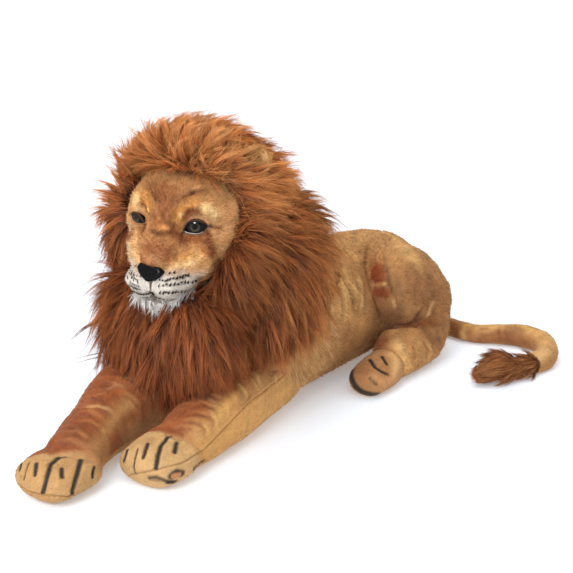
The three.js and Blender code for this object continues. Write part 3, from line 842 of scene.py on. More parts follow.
def foreleg(side):
    """One foreleg with its paw: rust with fine folds on its outer side and top, gold below."""
    names = [f"foreleg_{side}", f"front_paw_{side}"]
    near = side == "left"
    ob = skin(names, 0.0036, 10, None, 1)
    if not near:  # slimmer over the wrist
        v = coords(ob.data)
        at_wrist = 0.013 * ramp(v[:, 1], -0.685, -0.640) * ramp(v[:, 1], -0.43, -0.52)
        v[:, 0] += at_wrist * ramp(-v[:, 0], 0.02, 0.065)
        set_coords(ob.data, v)
    coat = Coat(ob, TAN)
    v, n = coat.v, coat.n
    wrist = on_skin(coat.tree, WRISTS[side])
    slope, start = np.polyfit(wrist[:, 0], wrist[:, 1], 1)
    shin = ramp(v[:, 1] - start - slope * v[:, 0], -0.006, 0.008)
    top = ramp(n[:, 2], -0.15, 0.75)
    coat.wash(lin(200, 168, 122) if near else lin(184, 148, 100), 0.6 * (1 - shin))
    coat.wash(BROWN, 0.30 * (1 - shin) * ramp(noise(v, 34, 15), -0.1, 0.7))
    coat.wash(GOLD, 0.6 * shin * (1 - top))
    across = (v[:, 0] - np.interp(v[:, 1], [-0.60, -0.45, -0.30, -0.17], MIDDLES[side])) / 0.06
    # fine folds across the leg, none like the next
    where = v[:, 1] + 0.022 * noise(v, 9, 9) + 0.006 * noise(v, 34, 10) + 0.018 * across ** 2
    ridge = noise(np.stack([v[:, 0] * 7, where * 74, v[:, 2] * 7], 1), 1, 13)
    edge = -across + 0.40 * ridge
    far_side = ramp(edge, -0.40, 0.25) if near else ramp(edge, -1.0, -0.45)
    dark = 1.15 * ramp(n[:, 2], -0.65, -0.05) * shin * far_side * (0.92 + 0.18 * noise(v, 22, 7))
    dark = np.clip(dark, 0, 1)
    if not near:  # browner, and fuller at the shoulder
        coat.wash(lin(160, 100, 60), 0.6 * shin * ramp(n[:, 2], -0.6, 0.2))
        shoulder = 0.013 * ramp(v[:, 1], -0.57, -0.50) * ramp(v[:, 1], -0.34, -0.42)
        coat.rise += shoulder * ramp(-v[:, 0], 0.055, 0.10) * ramp(n[:, 2], -0.5, 0.1)
    coat.wash(RUST, 0.98 * dark)
    coat.wash(DEEP, 0.40 * dark * ramp(noise(v, 26, 8), 0.0, 0.8))
    fine = noise(np.stack([v[:, 0] * 16, where * 150, v[:, 2] * 16], 1), 1, 14)
    some = ramp(noise(v * [1, 0.5, 1], 13, 11), -0.7, 0.1) * ramp(n[:, 2], -0.5, 0.3) * shin
    coat.rise += some * (0.0012 * ridge + 0.0005 * fine) + 0.0016 * noise(v, 22, 12) + 0.0015
    # painted highlights on the ridges of the fine folds and painted shade in their grooves
    gold = 0.36 * ramp(ridge, 0.15, 0.8) + 0.20 * ramp(fine, 0, 0.8)
    coat.wash(lin(182, 118, 66), some * gold * (1 - 0.5 * dark))
    coat.wash(DEEP, 0.35 * some * ramp(-ridge, 0.1, 0.8) * (0.15 + 0.85 * dark))
    fold_light_and_shade = shin * (0.13 * ridge + 0.08 * fine) * ramp(v[:, 1], -0.66, -0.60)
    coat.tint *= (1 + fold_light_and_shade + 0.06 * noise(v, 160, 18))[:, None]
    # each fold gets painted shade in its groove and a painted highlight just above it
    for line in SHADED_FOLDS[side]:
        coat.fold(line, 0.0014, 0.0046, 0.8, 0.4)
        coat.spray(line, 0.0048, lin(122, 64, 30), 0.80 if near else 0.5, ends=0.6)
        coat.spray(np.array(line) - [0.8, 3.0], 0.0032, lin(186, 122, 66), 0.45, ends=0.5)
    coat.fold(WRISTS[side], 0.004, 0.006, 0.5)
    (paw_left if near else paw_right)(coat)
    ob = coat.done()
    plush(ob, f"foreleg_plush_{side}", 110000, lies(0, -0.9, -0.2), 0.0040, 3200)
    split(ob, names, lambda o, n: worn(o, short_pile, [n]))


def toe(coat, line, reach, strength=0.97):
    """A dark line between two toes, in a groove."""
    coat.spray(line, reach * 1.22, INK, strength, hard=5.0)
    coat.fold(line, 0.0022, reach * 1.2, 0.4, 0.1)


def paw_right(coat):
    """The far paw's toes and sole, and the folds up its leg with painted highlights along them."""
    toe(coat, [(64.5, 456.6), (57, 460), (51, 464.5), (47, 477), (43.5, 492)], 0.0036)
    toe(coat, [(80.8, 460), (77, 475), (71.2, 494)], 0.0038)
    toe(coat, [(36.8, 465), (35.8, 475)], 0.0032)
    toe(coat, [(61.7, 469), (62, 477)], 0.0034)
    toe(coat, [(93.2, 468), (92.3, 477)], 0.0032)
    toe(coat, [(30, 463), (27.5, 470), (25.3, 479)], 0.0016, 0.8)
    toe(coat, [(21.5, 464), (20.5, 470)], 0.003)
    sole = [(18.6, 484.4), (29, 491), (42.5, 494.9), (67.4, 496.5), (86, 493), (100, 485)]
    coat.fold(sole, 0.0022, 0.0026, 0.6, 0.05)
    coat.spray(sole, 0.0011, DEEP, 0.6)
    coat.spray([(28, 498), (34, 500)], 0.004, BLACK, 0.8)
    # folds up the leg, each with a painted highlight along it
    coat.fold([(82, 409), (98, 407.5), (115, 414)], 0.003, 0.005, 0.9, 0.3)
    coat.spray([(82, 408), (98, 406), (108, 409), (114, 413)], 0.0024, PALE, 0.6, ends=0.3)
    coat.fold([(105, 375), (122, 374), (138, 382), (149, 393)], 0.004, 0.007, 0.9, 0.3)
    coat.spray([(98, 376), (112, 373.5), (124, 376), (138, 384), (147, 395)], 0.0026, PALE, 0.8, ends=0.3)
    coat.spray([(96, 452), (108, 430), (118, 412), (130, 404)], 0.016, TAN, 0.75)
    coat.spray([(130, 432), (146, 426), (160, 420)], 0.020, TAN, 0.7)
    coat.spray([(110, 389), (117, 385), (124, 388)], 0.006, lin(176, 126, 88), 0.6)


def paw_left(coat):
    """The near paw's toes, sole and pads, and the marks up its leg, among them painted shade and highlights
    of folds.
    """
    toe(coat, [(169.8, 436), (161.1, 446), (158, 457), (156.4, 468)], 0.0034)
    toe(coat, [(176.4, 444), (174.5, 453)], 0.0034)
    toe(coat, [(147.8, 445), (146, 451), (144, 458)], 0.0032)
    toe(coat, [(138.2, 450), (135.5, 460), (134.4, 467), (136.3, 473)], 0.0017, 0.85)
    toe(coat, [(127.7, 451), (124.8, 461)], 0.003)
    sole = [(119, 473), (128.6, 475), (155.4, 470), (182.2, 463), (203, 450), (226, 427), (247, 404),
            (274, 383), (292, 368)]
    coat.fold(sole, 0.0016, 0.0022, 0.5, 0.02)
    coat.spray(sole, 0.0010, DEEP, 0.6)
    coat.spray([(171.5, 476), (176, 472.6), (181.5, 473.4)], 0.0066, BLACK, 0.92, hard=6)
    coat.spray([(173, 475.8), (179, 474.6)], 0.0046, lin(176, 122, 82), 0.97, hard=5)
    coat.spray([(193, 468), (198, 464), (202.5, 461)], 0.0046, BLACK, 0.9, hard=5)
    coat.spray([(195, 466.5), (200, 463)], 0.0032, lin(134, 82, 48), 0.95, hard=4)
    coat.spray([(150, 477.5), (157, 476.8), (165, 480), (173, 482)], 0.0040, BLACK, 0.85, hard=3)
    coat.spray([(153, 479.5), (160, 480.5)], 0.0030, lin(150, 110, 78), 0.85, hard=4)
    coat.spray([(168, 482.2), (175, 481)], 0.0046, BLACK, 0.95, hard=4)
    coat.spray([(252, 392), (246, 402), (240, 408)], 0.0016, DEEP, 0.4, ends=0.3)
    coat.spray([(247, 366), (256, 378), (262, 390)], 0.0050, PALE, 0.6, ends=0.3)
    coat.spray([(266, 362), (274, 372), (276, 384)], 0.0045, PALE, 0.6, ends=0.3)
    # folds down the leg's side, drawn in paint alone: painted shade with a painted highlight beside each
    for line in ([(232, 384), (240, 392), (243, 402)], [(222, 392), (231, 400), (234, 411)],
                 [(214, 401), (222, 409), (224, 420)], [(204, 412), (212, 420), (213, 431)],
                 [(196, 421), (203, 430), (203, 441)], [(243, 376), (251, 386), (253, 396)]):
        coat.spray(line, 0.0038, lin(154, 100, 54), 0.55, ends=0.4)
        coat.spray(np.array(line) + [4, -1], 0.0036, lin(222, 178, 112), 0.5, ends=0.4)
    coat.spray([(214, 420), (228, 404), (240, 392)], 0.0100, lin(214, 166, 96), 0.7, ends=0.2)


def mirrored(ob):
    set_coords(ob.data, across_body(coords(ob.data)))
    ob.data.flip_normals()


def hind_paw(side):
    """A hind paw; the far one is the mirror image of the near one, so it is worked on as a near one."""
    name = f"hind_paw_{side}"
    ob = skin([name], 0.0036, 8, None, 1)
    if side == "right":
        mirrored(ob)
    v = coords(ob.data)  # narrower on its outer side, as seen in front
    left = np.maximum(np.median(v @ RIGHT) - v @ RIGHT, 0)
    set_coords(ob.data, v + (0.17 * left)[:, None] * RIGHT)
    coat = Coat(ob, lin(164, 116, 74))
    v = coat.v
    coat.rise += 0.0012 * noise(v, 30, 21) + 0.0024
    coat.spray([(390, 352), (396, 362), (394, 374)], 0.010, PALE, 0.8)
    coat.wash(lin(190, 144, 96), 0.5 * ramp(noise(v, 25, 22), -0.2, 0.6))
    coat.wash(BROWN, 0.4 * ramp(noise(v, 55, 23), 0.0, 0.7))
    coat.spray([(362, 352), (372, 349), (384, 347)], 0.010, RUST, 0.6)
    toe(coat, [(370, 360.6), (374.8, 367.9), (381, 372), (387, 374.8)], 0.0034)
    toe(coat, [(382, 357.6), (386.4, 365)], 0.003)
    toe(coat, [(370.6, 378.8), (376, 383.6)], 0.0032)
    coat.spray([(352.5, 370), (352.5, 378), (356, 386), (363, 392), (372, 394), (380, 393.5)],
               0.0088, lin(14, 10, 9), 0.97, hard=5)
    coat.spray([(374, 378), (384, 384), (392, 378)], 0.010, lin(204, 150, 100), 0.6)
    ob = coat.done()
    if side == "right":
        mirrored(ob)
    plush(ob, f"{name}_plush", 110000, lies(0, -0.9, -0.2), 0.0036, 3300)
    ob.name = f"{name}_skin"
    worn(ob, short_pile, [name])


body_skin()
for side in SIDES.values():
    foreleg(side)
for side in SIDES.values():
    hind_paw(side)


# Head, in a frame of its own: -Y is the way the face looks
HEAD_AT = np.array([-0.009, -0.318, 0.392])
HEAD_COS, HEAD_SIN = np.cos(np.radians(8)), np.sin(np.radians(8))
HEAD_AXES = np.array([[HEAD_COS, HEAD_SIN, 0], [-HEAD_SIN, HEAD_COS, 0], [0, 0, 1.0]])
FACE_AXIS = -HEAD_AXES[1]
EAR_AT = np.array([0.1048, 0.0150, 0.1063])


def to_head(p):
    return (p - HEAD_AT) @ HEAD_AXES.T


def from_head(p):
    return p @ HEAD_AXES + HEAD_AT


def across_face(p):
    return from_head(to_head(p) * [-1, 1, 1])


# Each eye's frame: X goes out to the side of the face, Y up, Z out of the face
EYE_AT = np.array([0.057, -0.0945, 0.019])
EYE_TURN = np.radians(26)
EYE_HALF = np.array([0.0180, 0.0100])
EYE_DOME = 0.0088
FAR_HIGH = 0.66  # how high the far eye is, under its heavy brow, for one of the near eye


def from_eye(p, side):
    x, y, z = np.asarray(p, float).T
    c, s = np.cos(EYE_TURN), np.sin(EYE_TURN)
    local = np.stack([c * x + s * z, s * x - c * z, y], 1) + EYE_AT
    return from_head(local * [side, 1, 1])


def almond(t, wide, high):
    """A closed almond's outline: its corners are pointed and its inner corner, at -X, hangs down."""
    x = wide * np.cos(t)
    y = high * np.sin(t) * np.abs(np.sin(t)) ** 0.35
    return x, y - 0.10 * high * (x / wide) ** 2 + np.where(x < 0, 0.55 * high * (x / wide) ** 3, 0)


def eye_ring(wide, high, low, up, start=0.0, stop=2.0, count=40):
    """Points of an almond round the near eye, from low to up above the cloth."""
    t = np.linspace(start * np.pi, stop * np.pi, count)
    x, y = almond(t, wide, high)
    return from_eye(np.stack([x, y, low + (up - low) * np.abs(np.sin(t))], 1), 1)


def both_rings(wide, high, *span):
    """The same ring round both eyes."""
    return eye_ring(wide, high, 0, 0, *span), across_face(eye_ring(wide, high * FAR_HIGH, 0, 0, *span))


# Where the short pile of the face ends, on the near side
FACE_EDGE = np.array([
    (145, 167), (156, 170), (167, 174), (177, 176), (186, 179), (195, 180), (203, 176), (211, 173),
    (221, 175), (231, 181), (238, 190), (243, 200), (244, 210), (241, 225), (236, 237), (229, 249),
    (218, 261), (210, 270), (202, 282), (192, 293), (178, 302), (150, 306), (60, 330), (60, 120),
    (120, 120), (140, 166)], float)


def beyond_face(points):
    """How many pixels outside the face's edge each point lies, with the far side folded onto the near one."""
    h = to_head(points)
    at = pixels(from_head(np.stack([np.abs(h[:, 0]), h[:, 1], h[:, 2]], 1)))
    gap = np.full(len(at), 1e9)
    inside = np.zeros(len(at), bool)
    for a, b in zip(FACE_EDGE, np.roll(FACE_EDGE, -1, 0)):
        d = b - a
        t = np.clip((at - a) @ d / (d @ d), 0, 1)
        gap = np.minimum(gap, np.linalg.norm(at - a - t[:, None] * d, axis=1))
        cross = (a[1] > at[:, 1]) != (b[1] > at[:, 1])
        inside ^= cross & (at[:, 0] < d[0] * (at[:, 1] - a[1]) / (d[1] if d[1] else 1e-9) + a[0])
    return np.where(inside, -gap, gap)


def carved(ob):
    """The bridge of the nose falls away to the eyes, and the chin stands back under the lip."""
    h = to_head(coords(ob.data))
    x, y, z = np.abs(h[:, 0]), h[:, 1], h[:, 2]
    ridge = np.interp(z, [-0.055, -0.04, -0.02, 0.0, 0.019, 0.03, 0.05, 0.065],
                      [0.152, 0.153, 0.150, 0.145, 0.136, 0.131, 0.116, 0.108])
    deep = np.interp(z, [-0.055, -0.035, -0.010, 0.010], [0.012, 0.018, 0.030, 0.040])
    limit = -(ridge - deep * (1 - np.exp(-(x / 0.032) ** 2.6)))
    share = ramp(z, -0.058, -0.030) * ramp(z, 0.065, 0.045) * (x < 0.05)
    y = y + share * np.maximum(limit - y, 0)
    rise = 0.42 * (np.clip(x / 0.056, 0, 1.1) ** 2) * ramp(-y, 0.085, 0.105)
    z = np.where(z < -0.068, -0.068 + (z + 0.068) * (1 - rise), z)
    low = ramp(-z, 0.099, 0.112)
    y = y + low * np.maximum(-(0.137 + 0.006 * (1 - x / 0.05)) - y, 0)
    h[:, 1], h[:, 2] = y, z
    h[:, 0] *= 1 - 0.10 * low
    set_coords(ob.data, from_head(h))
    smoothed(ob, 18)
    return applied(ob)


def face_paint(coat):
    """The airbrushed colours of the face, with painted highlights and shade, from the forehead down."""
    mid, rust = lin(148, 92, 54), lin(126, 66, 32)
    # forehead, temple and cheek
    coat.spray([(150, 172), (170, 181), (196, 186)], 0.016, lin(194, 148, 100), 0.8)
    coat.spray([(208, 182), (226, 188), (236, 206), (234, 226), (222, 246)],
               0.022, lin(204, 156, 106), 0.9, both=True)
    coat.spray([(160, 190), (164, 200), (166, 210), (164, 222)], 0.018, mid, 0.95)
    coat.spray([(170, 190), (176, 198), (172, 210)], 0.013, lin(152, 96, 58), 0.75)
    coat.spray([(196, 176), (210, 180), (222, 190)], 0.016, lin(188, 138, 92), 0.6, both=True)
    coat.spray([(158, 218), (156, 228), (158, 236)], 0.014, lin(164, 106, 60), 0.8)
    coat.spray([(176, 203), (184.3, 196.5), (195.5, 191.8), (204, 190.5), (212, 190.5)],
               0.0036, rust, 0.75, ends=0.3, both=True)
    coat.spray([(189, 194.4), (196, 192)], 0.0028, DEEP, 0.95, ends=0.2)
    coat.spray([(205, 187.5), (211, 189)], 0.0040, lin(198, 140, 84), 0.6, ends=0.2)
    # furrows of the forehead, painted dark as shade in their grooves
    coat.spray([(150, 184), (151.4, 187), (153.5, 194), (157, 201), (164, 203)],
               0.0030, DEEP, 0.75, ends=0.2)
    for line in ([(156, 188), (158, 198), (162, 206)], [(163, 190), (165, 200), (167, 208)],
                 [(170, 192), (172, 201), (170, 210)], [(160, 209), (163, 216), (161, 223)],
                 [(168, 212), (170, 219), (167, 226)], [(154, 212), (155, 220), (153, 227)]):
        coat.spray(line, 0.0030, lin(120, 70, 38), 0.45, ends=0.3)
    # bridge and nose
    coat.spray([(148, 240), (152, 236), (166, 238), (172, 244)], 0.012, lin(176, 124, 78), 0.7)
    coat.spray([(148, 249), (156, 249), (164, 251), (168, 258)], 0.013, lin(146, 86, 48), 0.95)
    coat.spray([(141, 256), (144, 262), (152, 264)], 0.008, lin(150, 92, 54), 0.85)
    # painted shade in the crease across the bridge
    coat.spray([(149, 230), (156, 234), (163, 233)], 0.0040, DEEP, 0.8, ends=0.3)
    coat.spray([(169, 234), (176, 235.5), (183, 236)], 0.0036, DEEP, 0.75, ends=0.2)
    coat.spray([(164, 228), (168, 230)], 0.0050, lin(206, 150, 88), 0.7)
    # brow and the corner of the eye
    coat.spray([(177, 221), (178, 213), (183, 207), (191, 204), (200, 204)],
               0.0080, lin(206, 146, 72), 0.95, hard=1.8, both=True)
    # a painted highlight on the swelling brow
    coat.spray([(204, 208), (210, 210.5), (214, 214)], 0.0095, CREAM, 0.97, hard=1.7, both=True)
    coat.spray([(200, 200), (212, 202), (221, 210)], 0.0070, lin(206, 158, 104), 0.6, hard=1.7, both=True)
    # a small painted highlight at the inner end of the brow
    coat.spray([(180, 215), (180.5, 217)], 0.0032, CREAM, 0.9, both=True)
    # rust hugging the top of the eye: airbrush with painted shade under the brow
    coat.spray([(181, 224), (183.5, 218), (188.5, 212.5), (196, 211.5), (203, 214)],
               0.0046, lin(136, 70, 30), 0.95, hard=2.2, ends=0.2, both=True)
    coat.spray([(175, 222), (173, 230), (176, 238)], 0.0070, rust, 0.75, ends=0.2, both=True)
    coat.spray([(208, 226.5), (214, 227.5), (222, 228)], 0.0030, rust, 0.85, ends=0.2, both=True)
    # under the eye
    coat.spray([(172, 233), (178, 237), (185, 242)], 0.0090, lin(120, 62, 28), 0.97, both=True)
    # rust under the eye, partly painted shadow
    coat.spray([(190, 239), (198, 241), (206, 238)], 0.0085, lin(156, 92, 48), 0.95, both=True)
    coat.spray([(206, 229), (208, 236), (209, 246)], 0.0050, lin(132, 68, 30), 0.9, ends=0.15, both=True)
    # gold and white of the cheeks
    coat.spray([(174, 264), (186, 259), (196, 253)], 0.0135, lin(194, 142, 78), 0.85, hard=1.8, both=True)
    # a painted highlight on the swelling cheek
    coat.spray([(196.5, 252), (198, 258)], 0.0050, CREAM, 0.45, hard=1.5, both=True)
    coat.spray([(170, 268), (182, 264), (192, 263)], 0.0070, lin(236, 206, 158), 0.85, hard=1.5, both=True)
    coat.spray([(214, 250), (208, 262), (202, 272)], 0.0090, lin(200, 152, 100), 0.8, both=True)
    # a painted highlight on the far side of the forehead
    coat.spray([(139, 197), (137, 203)], 0.0120, lin(224, 188, 138), 0.85, hard=1.6)
    coat.spray([(131, 228), (130, 240), (131, 252), (133, 262)], 0.0130, lin(204, 178, 142), 0.95, hard=1.5)
    coat.spray([(138, 238), (137, 250), (138, 260)], 0.0070, lin(196, 150, 104), 0.7, hard=1.5)
    coat.spray([(134, 226), (137, 232), (136, 240)], 0.0085, lin(202, 160, 112), 0.8, hard=1.5)
    coat.spray([(232, 192), (237, 206), (235, 222)], 0.016, lin(204, 154, 104), 0.55, both=True)
    # rust behind the near cheek
    coat.spray([(204, 240), (208.5, 244), (210, 251), (207, 259)],
               0.0062, lin(126, 64, 28), 0.97, hard=2.5, ends=0.15, both=True)
    coat.spray([(199, 241), (201.5, 248), (201, 256)], 0.0030, lin(150, 88, 46), 0.8, ends=0.3, both=True)
    coat.spray([(204.5, 243), (205.5, 251)], 0.0022, lin(196, 134, 76), 0.7, ends=0.3, both=True)


def face_folds(coat):
    """Sockets, brows and creases of the stuffed face."""
    coat.fold(eye_ring(0.024, 0.018, 0, 0), 0.0038, 0.006, 0.0, both=True)
    coat.fold([(178, 218), (180, 211), (188, 205.5), (198, 204), (208, 206), (216, 212)],
              -0.0085, 0.0095, 0.0, 0.2, both=True)
    coat.fold([(200, 262), (205, 252), (212, 241)], -0.005, 0.014, 0.0, 0.3, both=True)
    coat.fold([(176, 234), (173, 245), (170, 257)], 0.0030, 0.007, 0.2, 0.3, both=True)
    coat.fold([(178.7, 201.4), (186, 197), (194, 193), (203, 191), (212, 190)],
              0.0034, 0.0046, 0.9, 0.35, both=True)
    coat.fold([(149.5, 183), (149.5, 190), (152, 199), (158, 208)], 0.0042, 0.0046, 0.8, 0.3)
    coat.fold([(160, 206), (166, 214), (163, 224)], 0.0030, 0.005, 0.7, 0.3)
    coat.fold([(151, 234), (160, 235), (168, 233), (176, 235)], 0.0036, 0.0038, 0.8, 0.3)
    coat.fold([(162, 184), (174, 186), (186, 190)], 0.0022, 0.004, 0.7, 0.3)
    coat.fold([(206, 238), (207, 246), (205, 256)], 0.0030, 0.0042, 0.8, 0.3, both=True)
    coat.fold([(199, 242), (200, 250), (196, 258)], 0.0022, 0.004, 0.8, 0.3, both=True)


def mouth(coat):
    """The white muzzle and chin with the fold of the lip, its grey shades, the far marks and the cleft."""
    h = to_head(coat.v)
    edge = 0.004 * noise(coat.v, 60, 35)
    white = ramp(h[:, 1] + edge, -0.090, -0.108) * ramp(h[:, 2] + edge, -0.046, -0.070)
    under = ramp(h[:, 2] + edge, -0.086, -0.098) * ramp(h[:, 1], -0.05, -0.08)
    # painted shade: the white turns grey low on the muzzle and towards the near cheek
    shade = ramp(h[:, 2], -0.074, -0.100) * 0.6 + ramp(h[:, 0], 0.034, 0.056) * 0.7
    cloth = mixed(lin(220, 210, 197), lin(182, 171, 157), np.clip(shade, 0, 1))
    coat.wash(cloth, np.clip(np.maximum(white, under), 0, 1))
    lip = [(150.6, 291.5), (154, 295.2), (161, 298.8), (168, 300.2), (178, 298.8), (188, 294), (195, 287)]
    coat.fold(lip, 0.0030, 0.0040, 0.7, 0.2, both=True)
    coat.fold([(168, 285), (177, 285), (186, 282)], -0.0040, 0.012, 0.0, 0.2, both=True)
    # a painted shadow just under the lip
    coat.spray(np.array(lip) + [0, 2.5], 0.0040, lin(96, 84, 76), 0.75, ends=0.1, both=True)
    coat.spray(lip, 0.0026, lin(80, 70, 63), 0.80, hard=2.5, ends=0.1, both=True)
    for line in ([(126, 264), (128.5, 270), (133, 277), (139, 281.5)],
                 [(124.6, 271), (128, 279), (134, 284.5), (141, 287)],
                 [(128, 283), (134, 287.5), (142, 290)]):
        coat.spray(line, 0.0016, lin(44, 38, 35), 0.95, hard=2.5, ends=0.15)
    for line in ([(161, 280.5), (176, 279.5), (192, 275)], [(161, 286), (178, 285), (195, 281)],
                 [(162, 292.4), (176, 292), (188, 289)]):
        coat.spray(line, 0.0015, lin(112, 101, 93), 0.7, ends=0.2)
    cleft = down_the_face(coat, -0.072, -0.0885, 9)
    coat.fold(cleft, 0.006, 0.0036, 0.7, 0.05)
    coat.spray(cleft, 0.0017, lin(60, 50, 45), 0.9, hard=3)


def eye_black(coat):
    """Black round the eyes and at their corners."""
    # a dark brown ring round each eye: the cloth's own airbrush, with painted shade under the brow
    for ring in both_rings(0.0196, 0.0122):
        coat.spray(ring, 0.0034, lin(84, 46, 24), 0.9)
    for ring in both_rings(0.0188, 0.0112, 0.05, 0.95):
        coat.spray(ring, 0.0024, BLACK, 0.9)
    coat.spray([(188, 229), (184, 232.5), (180, 236)], 0.0034, BLACK, 0.95, ends=0.2, both=True)
    coat.spray([(205, 225), (209, 226.3), (213, 227.3)], 0.0024, BLACK, 0.85, ends=0.2, both=True)


def head_skin():
    """Head, muzzle, chin and ears as one carved skin; gives its surface, for what lies on it."""
    names = ["head", "muzzle", "chin", "ear_left", "ear_right"]
    cheeks = fillers([[0.046, -0.078, -0.048, 0.040, 0.040, 0.040],
                      [0.042, -0.086, -0.030, 0.034, 0.030, 0.034],
                      [0.036, -0.100, -0.062, 0.034, 0.026, 0.026],
                      [0.027, -0.125, -0.084, 0.030, 0.036, 0.028]],
                     from_head)
    ob = carved(skin(names, 0.0028, 9, cheeks, 1))
    coat = Coat(ob, lin(182, 132, 86), across_face)
    v = coat.v
    coat.rise += 0.0014 * noise(v, 26, 31) + 0.0009 * noise(v, 70, 32)
    coat.wash(BROWN, 0.35 * ramp(noise(v, 40, 33), 0, 0.8))
    face_folds(coat)
    face_paint(coat)
    speckle = 0.10 * noise(v, 48, 37) + 0.15 * noise(v, 95, 34) + 0.16 * noise(v * [1, 1, 0.6], 230, 36)
    coat.tint *= (1 + speckle)[:, None]
    coat.tint *= [1.16, 1.10, 0.96]
    eye_black(coat)
    mouth(coat)
    ears(coat)
    coat.done((1, 1, 1))
    face_plush(ob)

    def finish(o, k):
        return worn(o, short_pile, [k])

    tree = tree_of_mesh(ob.data)
    split(ob, names, finish)
    return tree


def face_plush(ob):
    """Plush on the face but for its eyes, cut short on the muzzle."""
    def face_only(middle):
        h = to_head(middle)
        gap = np.linalg.norm((np.abs(h) * [1, 0, 0] + h * [0, 1, 1] - EYE_AT) * [1, 1, 1.45], axis=1)
        return (h[:, 1] < 0.02) & (beyond_face(middle) < 4) & (gap > 0.021)

    def above_mouth(middle):
        return to_head(middle)[:, 2] > -0.060

    def face_nap(at):
        return (to_head(at) * [1.6, 0.2, 1.0] + [0, 0.06, 0.03]) @ HEAD_AXES

    plush(ob, "face_plush", 600000, face_nap, 0.0060, 3100, lambda m: face_only(m) & above_mouth(m))
    plush(ob, "muzzle_plush", 500000, face_nap, 0.0036, 3150, lambda m: face_only(m) & ~above_mouth(m))


def ears(coat):
    """Cups the ears: golden outside, hollow and dark in front."""
    forward = coat.n @ HEAD_AXES[1]
    for side in SIDES:
        middle = from_head((EAR_AT * [side, 1, 1])[None] + [0, -0.004, 0.006])
        gap = np.linalg.norm((coat.v - middle) * [1, 1, 0.8], axis=1)
        near = gap < 0.052
        hollow = np.exp(-(gap / 0.020) ** 2.5) * ramp(-forward, 0.1, 0.7)
        coat.rise -= 0.013 * hollow
        coat.rise += np.where(near, 0.0025 * np.exp(-((gap - 0.032) / 0.010) ** 2), 0)
        low = ramp(middle[0, 2] - coat.v[:, 2], -0.004, 0.012)
        coat.wash(mixed(lin(218, 166, 104), lin(136, 78, 40), low), 0.9 * near)
        coat.wash(lin(44, 25, 14), np.clip(1.2 * hollow, 0, 0.95))


def down_the_face(coat, top, bottom, count):
    """Points down the middle of the face's front, between two heights."""
    found = []
    for z in np.linspace(top, bottom, count):
        start = from_head(np.array([[0, -0.3, z]]))[0]
        hit = coat.tree.ray_cast(Vector(start), Vector(HEAD_AXES[1]))
        if hit[0] is not None:
            found.append(np.array(hit[0]))
    return np.array(found)


# Eyes
def eye_ball(side):
    """A domed plastic eye: olive-brown iris, black pupil and black corners."""
    rings, around = 34, 96
    wide, high = EYE_HALF if side > 0 else EYE_HALF * [1, FAR_HIGH]
    x, y = almond(np.linspace(0, 2 * np.pi, around, endpoint=False), wide, high)
    shares = [(k / rings, 0) for k in range(1, rings + 1)] + [(1.0, 0.010)]  # and how far each ring is sunk
    verts = [[0, 0, EYE_DOME]]
    for r, sunk in shares:
        verts += [[a * r, b * r, EYE_DOME - r * r * (a ** 2 + b ** 2) / 0.060 - sunk] for a, b in zip(x, y)]
    verts = np.array(verts)
    faces = [(0, 1 + k, 1 + (k + 1) % around) for k in range(around)]
    for i in range(rings):
        a, b = 1 + i * around, 1 + (i + 1) * around
        faces += [(a + k, b + k, b + (k + 1) % around, a + (k + 1) % around) for k in range(around)]
    x, y = verts[:, 0] + 0.0006, verts[:, 1] - 0.0004
    gap = np.hypot(x, y)
    angle = np.arctan2(y, x)
    spokes = noise(np.stack([np.cos(angle) * 9, np.sin(angle) * 9, gap * 300], 1), 2.2, 41)
    bright = ramp(spokes, -0.7, 0.6) * ramp(y, 0.008, -0.006) + 0.10
    iris = mixed(lin(26, 21, 15), lin(74, 66, 46), bright)
    tint = mixed(lin(3, 3, 3), iris, ramp(gap, 0.0042, 0.0052))
    tint = mixed(tint, lin(8, 6, 5), ramp(gap, 0.0080, 0.0100))
    if side < 0:
        faces = [f[::-1] for f in faces]
    name = f"eye_{SIDES[side]}"
    ob = new_object(f"{name}_ball", from_eye(verts, side), faces)
    set_tint(ob.data, tint)
    return worn(ob, eye_gloss, [name])


def tube(name, line, radius):
    """A tube along a line, closed at its ends, with its own radius at each point."""
    count, around = len(line), 10
    step = unit(np.gradient(line, axis=0))
    a = unit(np.cross(step, [0.31, 0.22, 0.92]))
    b = np.cross(step, a)
    t = np.linspace(0, 2 * np.pi, around, endpoint=False)[None, :, None]
    verts = line[:, None] + radius[:, None, None] * (a[:, None] * np.cos(t) + b[:, None] * np.sin(t))
    faces = []
    for i in range(0, (count - 1) * around, around):
        j = i + around
        faces += [(i + k, i + (k + 1) % around, j + (k + 1) % around, j + k) for k in range(around)]
    last = (count - 1) * around
    faces += [tuple(range(around))[::-1], tuple(range(last, last + around))]
    return new_object(name, verts.reshape(-1, 3), faces)


# Rolled edges round each eye: half width and height, height above the cloth at the corners and between
# them, radius, span in half turns, and colour of the near and the far one
LIDS = [
    ("upper_lid", 0.0196, 0.0124, 0.0014, 0.0070, 0.0024, (0.02, 0.98), (70, 38, 22), (70, 38, 22)),
    ("upper_line", 0.0188, 0.0106, 0.0026, 0.0080, 0.0019, (-0.05, 1.05), (14, 11, 10), (14, 11, 10)),
    ("lower_line", 0.0182, 0.0101, 0.0024, 0.0070, 0.0010, (1.0, 2.0), (14, 11, 10), (14, 11, 10)),
    # the far lower lid is darker than the near one: painted shade under its heavy brow
    ("lower_lid", 0.0192, 0.0119, 0.0014, 0.0052, 0.0010, (1.08, 1.72), (206, 196, 184), (130, 100, 74)),
]


